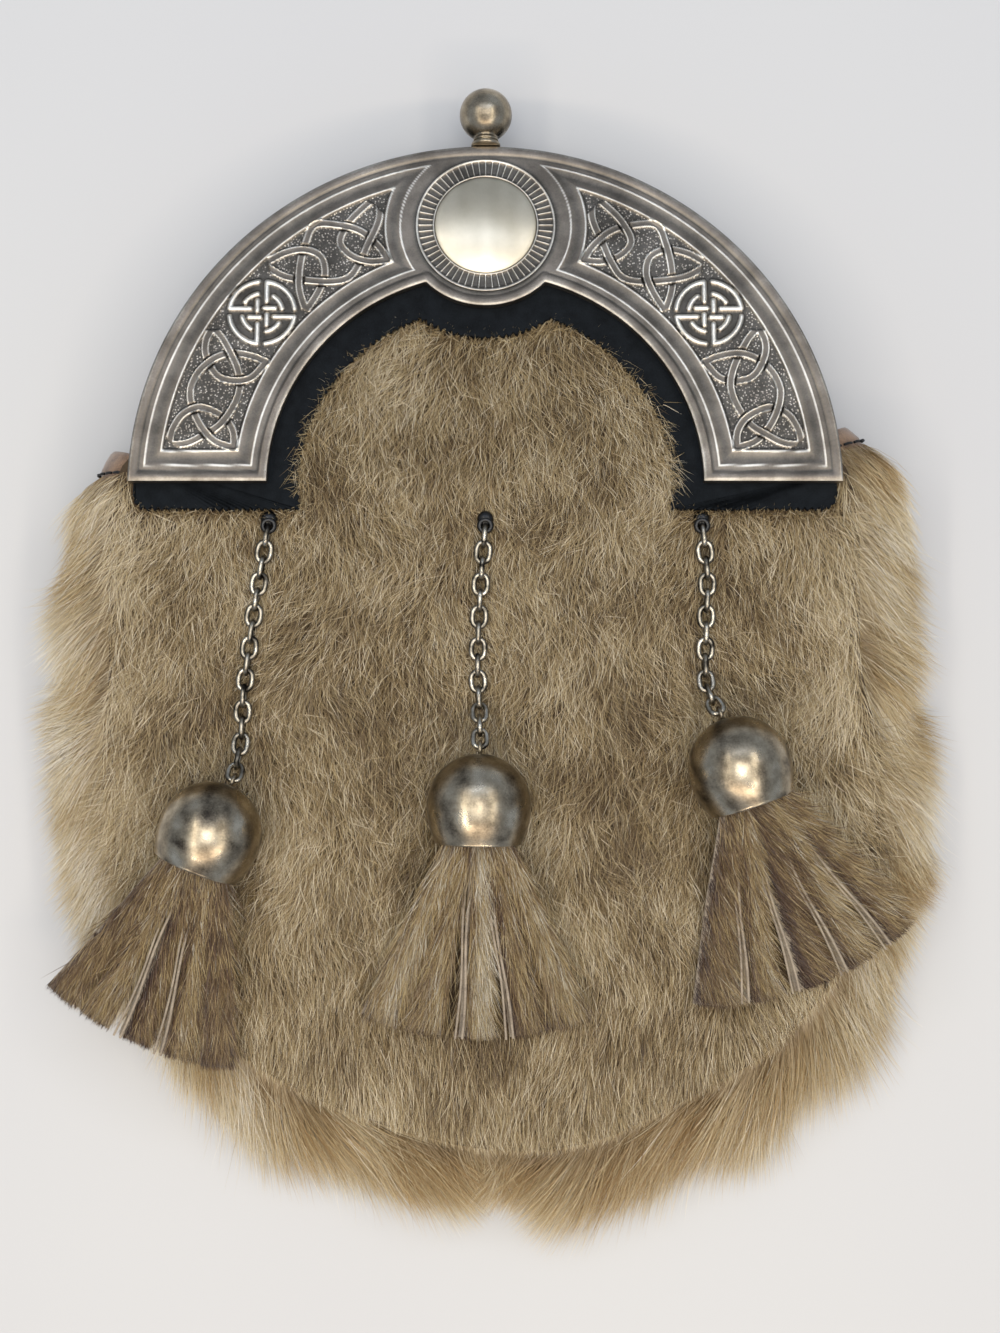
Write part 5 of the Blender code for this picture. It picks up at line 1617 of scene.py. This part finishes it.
    def roundel_relief(self, x: np.ndarray, y: np.ndarray) -> tuple[np.ndarray, np.ndarray, np.ndarray]:
        """Draws the roundel: bars and arcs that turn four times about its middle.

        Args:
            x: places to the right, in millimetres.
            y: places up, in millimetres.

        Returns:
            Height, wear, and distance from the roundel's middle.
        """
        middle = (self.radius + self.inner) / 2.0
        u, v = x - middle * math.cos(self.roundel_angle), y - middle * math.sin(self.roundel_angle)
        away, bar = np.hypot(u, v), np.full_like(x, 9.0)
        for quarter in range(4):
            cosine, sine = math.cos(quarter * math.pi / 2.0), math.sin(quarter * math.pi / 2.0)
            a, b = u * cosine + v * sine, -u * sine + v * cosine
            angle = np.degrees(np.arctan2(b, a))
            for low, high, offset in ((2.9, 7.7, 1.05), (0.5, 3.1, -1.15)):
                bar = np.minimum(bar, np.hypot(np.maximum(0.0, np.maximum(low - a, a - high)), b - offset))
            for reach, start, end in ((7.9, 8.0, 83.0), (4.9, 33.0, 77.0)):
                past = np.maximum(0.0, np.maximum(start - angle, angle - end))
                bar = np.minimum(bar, np.hypot(np.abs(away - reach), np.radians(past) * reach))
        rise = np.sqrt(np.clip(1.0 - (bar / self.bar) ** 2, 0.0, 1.0))
        return 0.62 * rise, np.where(bar < self.bar, 0.26 + 0.58 * rise, 0.0), away

    def relief(self, x: np.ndarray, y: np.ndarray) -> tuple[np.ndarray, np.ndarray, np.ndarray]:
        """Relief of the half ring.

        Args:
            x: places to the right of the middle, in millimetres.
            y: places up from the foot.

        Returns:
            Height over the plain field, wear with a painted shadow round the boss, and where the ground is stippled.
        """
        left, x = x < 0.0, np.abs(x)
        radius, from_boss = np.hypot(x, y), np.hypot(x, y - self.boss_up)
        edge = np.minimum(np.minimum(self.radius - radius, np.maximum(radius - self.inner, self.lobe - from_boss)), y)
        panel = np.minimum(np.minimum(self.radius - radius, radius - self.inner), np.minimum(y, from_boss - self.boss))
        # A bead along the rim, bright on top, and a dark groove inside it
        rim, groove = edge < 2.2, bell(edge - 2.45, 0.20)
        height = 0.26 * np.sqrt(np.clip(1.0 - ((edge - 1.05) / 1.15) ** 2, 0.0, 1.0)) * rim - 0.06 * groove
        wear = 0.42 + np.where(rim, 0.06 + 0.20 * bell(edge - 0.25, 0.35), 0.0) - 0.16 * groove
        # A hollow channel between two rubbed lines
        channel = smooth_step(self.frame_inset, self.frame_inset + 1.6, panel) * (panel < self.panel_inset + 0.3)
        rise_back = smooth_step(self.panel_inset - 1.9, self.panel_inset, panel)
        height -= 0.16 * channel * (1.0 - rise_back)
        wear += channel * (0.06 * rise_back - 0.12 * (1.0 - rise_back))
        middle, spot_wear, roundel_away = self.roundel_relief(x, y)
        in_roundel = roundel_away < self.roundel + 0.35
        lines = bell(panel - self.frame_inset, 0.19) + np.where(in_roundel, 0.0, bell(panel - self.panel_inset, 0.19))
        height += 0.09 * lines
        wear += 0.66 * lines
        # The sunk ground of the panels and the roundel, and what stands on it
        ground = smooth_step(self.panel_inset + 0.25, self.panel_inset + 0.75, panel)
        ground = np.maximum(ground, smooth_step(0.0, 0.5, self.roundel + 0.35 - roundel_away) * (panel > 2.0))
        height -= 0.42 * ground
        wear, stipple = mix(wear, 0.21, ground), ground.copy()
        for rows, pointed in self.knots:
            strand, strand_wear = self.knot(x, y, rows, pointed, left)
            height += strand
            wear += strand_wear
            stipple *= 1.0 - smooth_step(0.02, 0.2, np.abs(strand))
        height += np.where(in_roundel, middle, 0.0)
        # Painted shadow: the field darkens in a band just outside the boss.
        wear = np.where(in_roundel, 0.17 + spot_wear, wear) - 0.28 * bell(np.maximum(0.0, from_boss - self.boss), 0.7)
        return height, np.clip(wear, 0.0, 1.0), np.clip(np.where(in_roundel, 0.0, stipple), 0.0, 1.0)

    def build(self, metal: bpy.types.Material, disc_metal: bpy.types.Material) -> None:
        """Builds the half ring as a fine sheet of relief with its side walls, and the boss on it.

        Args:
            metal: finish of the ring.
            disc_metal: finish of the boss's disc.
        """
        foot, panel, middle = self.columns
        stops = np.radians([0.0, 6.0, 72.5, 107.5, 174.0, 180.0])
        inset = self.panel_inset / (self.radius - self.inner)
        turn, ways = (np.concatenate([np.linspace(low, high, count, endpoint=False)
                                      for low, high, count in zip(ends, ends[1:], counts)] + [ends[-1:]])
                      for ends, counts in ((stops, (foot, panel, middle, panel, foot)),
                                           (np.array([0.0, inset, 1.0 - inset, 1.0]), self.rows)))
        columns, rows = len(turn), len(ways)
        leg = self.boss_up * np.cos(turn)
        lobe = np.sqrt(np.clip(self.lobe ** 2 - leg ** 2, 0.0, None))
        dip = np.minimum(self.inner, self.boss_up * np.sin(turn) - lobe)
        start = np.where(np.abs(leg) < self.lobe, dip, self.inner)
        reach = mix(start[:, None], self.radius, ways[None])
        x, y = (reach * np.cos(turn)[:, None]).ravel(), (reach * np.sin(turn)[:, None]).ravel()
        height, wear, stipple = self.relief(x, y)
        numbers = np.arange(columns * rows).reshape(columns, rows)
        loop = np.concatenate([numbers[:, 0], numbers[-1, 1:], numbers[-2::-1, -1], numbers[0, -2:0:-1]])
        height[loop] = 0.05
        field = self.seat + self.thickness
        top = self.form.on_top(x * MM, y * MM, (field + height) * MM)
        low = self.form.on_top(x[loop] * MM, y[loop] * MM, self.seat * MM)
        faces = grid_faces(columns, rows)
        faces = faces[(np.hypot(x, y - self.boss_up)[faces] > self.boss - 1.2).any(axis=1)]
        around, base = np.arange(len(loop)), columns * rows
        walls = np.stack([loop, np.roll(loop, -1), base + np.roll(around, -1), base + around], axis=1)
        near, far = base + np.arange(columns), base + 2 * columns + rows - 3 - np.arange(columns)
        under = np.stack([near[:-1], near[1:], far[1:], far[:-1]], axis=1)
        values = {"wear": np.concatenate([wear, np.full(len(loop), 0.55)]),
                  "stipple": np.concatenate([stipple, np.zeros(len(loop))])}
        sheet = mesh_piece("metal_top", np.concatenate([top, low]), np.concatenate([faces, walls, under]), values)
        sheet.data.set_sharp_from_angle(angle=math.radians(50.0))
        dress(sheet, metal, "antiqued_metal", "cantle")
        self.build_boss(metal, disc_metal, field)

    def build_boss(self, metal: bpy.types.Material, disc_metal: bpy.types.Material, field: float) -> None:
        """Builds the ribbed ring with its two fine borders, and the domed, brushed disc.

        Args:
            metal: finish of the ring.
            disc_metal: finish of the disc.
            field: height of the half ring's plain field.
        """
        # Reach, height of the borders, and height of the ribs
        profile = np.array([
            (17.0, 0.0, 0.0), (17.0, 0.9, 0.0), (16.85, 1.0, 0.0), (16.55, 1.0, 0.0), (16.35, 0.35, 0.4),
            (16.1, 0.0, 1.0), (15.7, 0.0, 1.0), (15.0, 0.0, 1.0), (14.3, 0.0, 1.0), (13.6, 0.0, 1.0),
            (13.1, 0.0, 1.0), (12.95, 0.35, 0.5), (12.75, 1.0, 0.0), (12.55, 1.0, 0.0), (12.4, 0.1, 0.0),
            (12.3, 0.0, 0.0)])
        reach, border, rib_zone = (profile[:, column:column + 1] for column in range(3))
        turns = np.linspace(0.0, FULL_TURN, 10 * self.ribs, endpoint=False)
        rib = rib_zone * np.clip(np.cos(turns * self.ribs) * 2.8 - 1.8, 0.0, 1.0)
        height = 0.02 + 0.42 * border + 0.34 * rib
        height[0] = -0.4
        wear = np.clip(0.24 + 0.56 * border + 0.68 * rib, 0.0, 1.0)
        self.build_round("boss_ribs", metal, reach, turns, field + height, wear)
        turns = np.linspace(0.0, FULL_TURN, 160, endpoint=False)
        share = np.concatenate([[1.0, 1.0, 0.985], np.linspace(0.96, 0.0, 26)])[:, None]
        dome = 0.35 + 1.5 * (1.0 - share ** 2)
        dome[0] = -0.4
        reach = self.disc * share
        x, rise = reach * np.cos(turns), reach * np.sin(turns)
        # Painted light: the disc darkens towards its top and lightens towards its bottom; it is also darker round its
        # edge.
        wear = (0.68 + 0.04 * ripples(x * MM, (self.boss_up + rise) * MM * 0.2, 0.003, 61)
                - 0.25 * smooth_step(0.93, 1.0, share) - 0.010 * rise)
        self.build_round("boss_disc", disc_metal, reach, turns, field + dome, wear)

    def build_round(self, name: str, finish: bpy.types.Material, reach: np.ndarray, turns: np.ndarray,
                    level: np.ndarray, wear: np.ndarray) -> None:
        """Builds a round piece about the boss's middle.

        Args:
            name: name of the piece.
            finish: its finish.
            reach: a column of distances from the middle.
            turns: angles round it.
            level: heights over the plane of the metal top.
            wear: wear of each point, with any painted light and shade.
        """
        points = self.form.on_top(reach * np.cos(turns) * MM, (self.boss_up + reach * np.sin(turns)) * MM, level * MM)
        values = {"wear": wear.ravel(), "stipple": np.zeros(wear.size)}
        dress(mesh_piece(name, points, grid_faces(len(reach), len(turns), closed=True), values), finish,
              "antiqued_metal")


@dataclass
class BallFinial:
    """The ball with its stepped neck, in metres."""

    form: PouchForm
    ball: float = 0.00645
    ball_up: float = 0.0085
    neck: float = 0.0026
    collar: float = 0.0036
    collar_height: float = 0.0009
    ring: float = 0.0031
    ring_half: float = 0.00045
    level: float = 0.0031

    def build(self, metal: bpy.types.Material) -> None:
        """Turns the finial and stands it on the top's rim.

        Args:
            metal: its finish.
        """
        foot = self.ball_up - math.sqrt(self.ball ** 2 - self.neck ** 2)
        middle = (self.collar_height + foot) / 2.0
        profile = [(0.0, 0.0), (self.collar * 0.96, 0.0), (self.collar, 0.0002),
                   (self.collar, self.collar_height * 0.8), (self.collar * 0.94, self.collar_height),
                   (self.neck * 1.05, self.collar_height * 1.15)]
        profile += [(self.neck + (self.ring - self.neck) * math.cos(turn), middle + self.ring_half * math.sin(turn))
                    for turn in np.linspace(-1.2, 1.2, 7)]
        profile.append((self.neck, foot))
        start = math.asin(self.neck / self.ball)
        profile += [(self.ball * math.sin(turn), self.ball_up - self.ball * math.cos(turn))
                    for turn in np.linspace(start + 0.1, math.pi - 0.02, 26)]
        profile.append((0.0, self.ball_up + self.ball))
        finial = revolve("ball_and_neck", profile, 48)
        place = self.form.on_top(0.0, self.form.top_radius + self.form.gap, 2.0 * self.form.gap + self.level)
        turned = Matrix.Rotation(-math.pi / 2.0 - self.form.plane_tilt, 4, "X")
        finial.data.transform(Matrix.Translation(Vector(place)) @ turned)
        set_wear_and_shade(finial, 0.50, 0.12, 0.003, 71)
        dress(finial, metal, "antiqued_metal", "ball_finial")


# The flap


@dataclass
class PinkedFlap:
    """The black flap under the metal top, pinked along its free edge, with its fold to the back."""

    form: PouchForm
    radius: float = 0.0840
    inner: float = 0.0447
    dip: float = 0.0275
    foot: float = 0.0060
    thickness: float = 0.0020
    boss_up: float = 0.0645
    tooth: float = 0.0017
    tooth_depth: float = 0.00055
    corner: float = 0.0032
    edge_step: float = 0.00042
    end_turn: float = 0.035
    fold_half: float = 0.015
    sharp: float = math.radians(40.0)

    def arc(self, centre_y: float, radius: float, start: float, end: float) -> np.ndarray:
        """Points along an arc, close together.

        Args:
            centre_y: height of its centre over the foot of the metal top.
            radius: its radius.
            start: angle of its first point.
            end: angle of its last point.

        Returns:
            The points.
        """
        turns = np.linspace(start, end, max(4, int(abs(end - start) * radius / self.edge_step)))
        return places(radius * np.cos(turns), centre_y + radius * np.sin(turns))

    def free_edge(self) -> np.ndarray:
        """Draws the flap's pinked edge, from its left foot round the opening to its right foot.

        Returns:
            The edge, in the plane of the metal top.
        """
        cusp_y = (self.inner ** 2 - self.dip ** 2 + self.boss_up ** 2) / (2.0 * self.boss_up)
        cusp_x = math.sqrt(self.inner ** 2 - cusp_y ** 2)
        foot_outer, foot_inner = (-math.asin(self.foot / reach) for reach in (self.radius, self.inner))
        cusp, lobe = math.atan2(cusp_y, cusp_x), math.atan2(cusp_y - self.boss_up, cusp_x)
        left = self.arc(0.0, self.inner, math.pi - foot_inner, math.pi - cusp)
        dip = self.arc(self.boss_up, self.dip, -math.pi - lobe, lobe)
        right = self.arc(0.0, self.inner, cusp, foot_inner)
        inner_x, outer_x = self.inner * math.cos(foot_inner), self.radius * math.cos(foot_outer)
        straight = np.linspace(-outer_x + self.corner, -inner_x,
                               int((outer_x - inner_x - self.corner) / self.edge_step))
        bend = np.linspace(math.pi, 1.5 * math.pi, 13)[:-1]
        left_foot = np.concatenate([
            places(-outer_x + self.corner + self.corner * np.cos(bend),
                   -self.foot + self.corner + self.corner * np.sin(bend)),
            places(straight, -self.foot)])
        right_foot = left_foot[::-1] * np.array([-1.0, 1.0])
        free = np.concatenate([left_foot[:-1], left[:-1], dip[:-1], right[:-1], right_foot])
        run = np.gradient(free, axis=0)
        side = unit(places(run[:, 1], -run[:, 0]))
        length = np.concatenate([[0.0], np.cumsum(np.linalg.norm(np.diff(free, axis=0), axis=1))])
        wave = 2.0 * np.abs((length / self.tooth) % 1.0 - 0.5) - 0.5
        uneven = 0.7 + 0.3 * np.sin(length * 310.0)
        return free + side * (wave * uneven * self.tooth_depth * 2.0)[:, None]

    def build(self, felted: bpy.types.Material) -> None:
        """Builds the flap as a band between its outer and its free edge, and its fold.

        Args:
            felted: finish of both.
        """
        free = self.free_edge()
        turns = np.unwrap(np.arctan2(free[:, 1] + self.foot, free[:, 0]))
        turns = np.minimum.accumulate(np.where(turns < 0.0, turns + FULL_TURN, turns))
        outer_turn = np.interp(-turns, (-math.pi, 0.0), (math.pi - self.end_turn, self.end_turn))
        outer_turn[0], outer_turn[-1] = math.pi - self.end_turn, self.end_turn
        outer = self.radius * places(np.cos(outer_turn), np.sin(outer_turn))
        high = self.form.gap + self.thickness * 0.82
        corners = [self.form.on_top(line[:, 0], line[:, 1], level)
                   for line, level in ((outer, self.form.gap), (outer, high), (free, high), (free, self.form.gap))]
        flap = mesh_piece("pinked_flap", np.stack(corners, axis=1), rod_faces(len(free), 4))
        flap.data.set_sharp_from_angle(angle=self.sharp)
        dress(flap, felted, "black_felted_leather", "flap")
        self.build_fold(felted)

    def build_fold(self, felted: bpy.types.Material) -> None:
        """Builds the bent strip from the flap's top edge down to the back.

        Args:
            felted: its finish.
        """
        half, bend = self.thickness / 2.0, 0.0030
        root = self.form.on_top(0.0, self.radius - 0.0060, self.form.gap + half)[1:]
        along = np.array([math.cos(self.form.plane_tilt), -math.sin(self.form.plane_tilt)])
        low = self.form.back_thickness + self.form.gap + half
        turn = (root[1] - low) / 2.0
        keys = np.array([root, root + along * bend, (root[0] + 1.8 * bend, root[1] - 0.25 * turn - 0.0008),
                         (root[0] + 1.9 * bend, low + 0.9 * turn), (root[0] + 1.4 * bend, low + 0.25 * turn),
                         (root[0] + 0.4 * bend, low), (root[0] + 0.4 * bend - 0.0120, low)])
        ways = np.linspace(0.0, len(keys) - 1.0, 49)
        path = places(*(np.interp(ways, np.arange(len(keys)), line) for line in keys.T))
        for _ in range(3):
            path[1:-1] = (path[:-2] + 2.0 * path[1:-1] + path[2:]) / 4.0
        run = unit(np.gradient(path, axis=0))
        side = places(-run[:, 1], run[:, 0]) * half
        rings = [places(x, *(path + side * way).T)
                 for x, way in ((-self.fold_half, 1.0), (self.fold_half, 1.0), (self.fold_half, -1.0),
                                (-self.fold_half, -1.0))]
        fold = mesh_piece("flap_fold", np.stack(rings, axis=1), rod_faces(len(path), 4))
        fold.data.set_sharp_from_angle(angle=self.sharp)
        dress(fold, felted, "black_felted_leather")


# Table, light and camera


@dataclass
class Studio:
    """Pale table, soft light from a frame of strips over it, and the camera straight above."""

    camera_height: float = 0.520
    camera_x: float = 0.0035
    view_height: float = 0.3395
    sensor: float = 36.0
    strip_height: float = 0.62
    strip_half_x: float = 0.34
    strip_half_y: float = 0.42
    strip_width: float = 0.055
    table_half: float = 3.0
    table_level: float = -0.0002

    def build_camera(self) -> None:
        """Sets the camera straight above, its top towards the ball."""
        data = bpy.data.cameras.new("overhead")
        data.sensor_fit, data.sensor_height = "VERTICAL", self.sensor
        data.lens = self.sensor * self.camera_height / self.view_height
        data.clip_start = 0.01
        camera = add_object("overhead", data)
        camera.location = (self.camera_x, 0.0, self.camera_height)
        bpy.context.scene.camera = camera

    def area(self, name: str, place: tuple[float, float, float], size: tuple[float, float], power: float,
             colour: str, flat: bool = False) -> None:
        """Adds an area light that looks at the pouch, or straight down when flat.

        Args:
            name: its name.
            place: where it is.
            size: its width and height.
            power: its power in watts.
            colour: its colour as sRGB hex.
            flat: whether it looks straight down.
        """
        data = bpy.data.lights.new(name, "AREA")
        data.shape = "RECTANGLE"
        data.size, data.size_y = size
        data.energy, data.color = power, linear(colour)[:3]
        light = add_object(name, data)
        light.location = place
        if not flat:
            light.rotation_euler = (-Vector(place)).to_track_quat("-Z", "Y").to_euler()

    def build_lights(self) -> None:
        """Adds the soft light overhead, the frame of strips and the pale room."""
        self.area("overhead_soft", (0.0, 0.02, 1.15), (0.62, 0.62), 4.4, "#fffaf2")
        across, along = (2.0 * self.strip_half_x, self.strip_width), (self.strip_width, 2.0 * self.strip_half_y)
        for name, side_x, side_y, size, power, colour in (
                ("strip_top", 0.0, 1.0, across, 0.7, "#dfeaff"), ("strip_bottom", 0.0, -1.0, across, 1.7, "#ffe9cf"),
                ("strip_left", -1.0, 0.0, along, 1.5, "#fff6e6"), ("strip_right", 1.0, 0.0, along, 1.4, "#fff6e6")):
            place = (side_x * self.strip_half_x, side_y * self.strip_half_y, self.strip_height)
            self.area(name, place, size, power, colour, flat=True)
        world = bpy.data.worlds.new("pale_room")
        world.use_nodes = True
        back = world.node_tree.nodes["Background"]
        back.inputs["Color"].default_value = linear("#d2dff2")
        back.inputs["Strength"].default_value = 0.55
        bpy.context.scene.world = world
        bpy.context.scene.view_settings.view_transform = "Standard"

    def build_floor(self) -> None:
        """Lays the pale table."""
        half = self.table_half
        points = np.array([(-half, -half, 0.0), (half, -half, 0.0), (half, half, 0.0), (-half, half, 0.0)])
        points[:, 2] = self.table_level
        floor = mesh_piece("table", points, np.array([(0, 1, 2, 3)]), smooth=False)
        # Gives the even, matt pale grey of the table, with only the faintest change of tone
        floor.data.materials.append(PlainCoat("painted_table", "#cdcdcc", "#c8c8c9", 0.6, 0.3).make())


def main() -> None:
    """Builds the looks of the pouch, one sub-assembly after another."""
    studio = Studio()
    studio.build_camera()
    studio.build_lights()
    studio.build_floor()
    form = PouchForm()
    # The metal top: dark in the grooves, dull on the field, bright where hands have rubbed it
    silver = AntiquedSilver().make()
    # The boss's disc: brushed and paler, with hardly a speck
    disc_silver = AntiquedSilver("cast_white_metal_brushed", flat="#c4baa4", rubbed="#f6ecd6", stain="#c9c4bb",
                                 roughness=0.34, speckle=0.03, patch=26.0 * MM, brushed=True).make()
    # Caps and ball: smooth and shiny under a brown, spotted tarnish
    dome_silver = AntiquedSilver("plated_brass_tarnished", low="#4f483f", flat="#a79b86", rubbed="#ddd2bc",
                                 stain="#7d7468", roughness=0.27, speckle=0.24, patch=3.5 * MM).make()
    # Chains: black between the links and beneath them, bright on their outsides, from wear together with painted
    # highlight and shade
    chain_silver = AntiquedSilver("drawn_wire_blackened", sunk="#141312", low="#3b3833", flat="#aaa394",
                                  rubbed="#efe8d9", roughness=0.26, patch=1.6 * MM).make()
    # The eyes: glossy black with a small highlight
    black_enamel = PlainCoat("black_enamel", "#060607", "#030303", 0.30, 0.004).make()
    # The flap: a dull blue-black nap, which swallows the light
    felted = Leather("flap_leather_napped", "#080b0e", "#15191d", 0.8, 0.35 * MM, 0.10 * MM, 0.0, 0.12).make()
    # The back: near-black with a low sheen in its grain
    back_leather = Leather("back_leather_waxed", "#0b0a0a", "#1d1b1b", 0.42, 0.9 * MM).make()
    # The hems: warm mid-brown suede, a little uneven
    suede = Leather("gusset_suede", "#4e3a2c", "#94765c", 0.85, 0.30 * MM, 0.15 * MM, 0.4).make()
    # The hide between the hairs: dark brown, partly its own colour and partly painted shade that makes gaps in the fur
    # look deep
    front_hide = Leather("hide_under_fur", "#2a2016", "#54432e", 0.9, 0.8 * MM).make()
    # The cut edges of the tassels' strips: pale, greyish brown
    cut_hide = Leather("strip_hide_cut_edge", "#756859", "#aa9c88", 0.85, 0.4 * MM, 0.08 * MM).make()
    # The stitches: black and dull
    thread = PlainCoat("waxed_thread", "#141416", "#08080a", 0.6, 0.001).make()
    body = HideBody(form)
    body.build_front(front_hide)
    body.build_gusset(suede, thread)
    body.build_back(back_leather, thread)
    sets = [HangingSet(form, hanger) for hanger in HANGERS]
    flap = PinkedFlap(form)
    PouchFur(form, body, sets).build(flap.free_edge())
    MetalTop(form).build(silver, disc_silver)
    BallFinial(form).build(dome_silver)
    flap.build(felted)
    tassel_fur = Coat.TASSEL.value.make()
    for hung in sets:
        hung.build_chain(chain_silver, black_enamel)
        hung.build_cap(dome_silver)
        hung.build_tassel(cut_hide, tassel_fur)


if __name__ == "__main__":
    main()
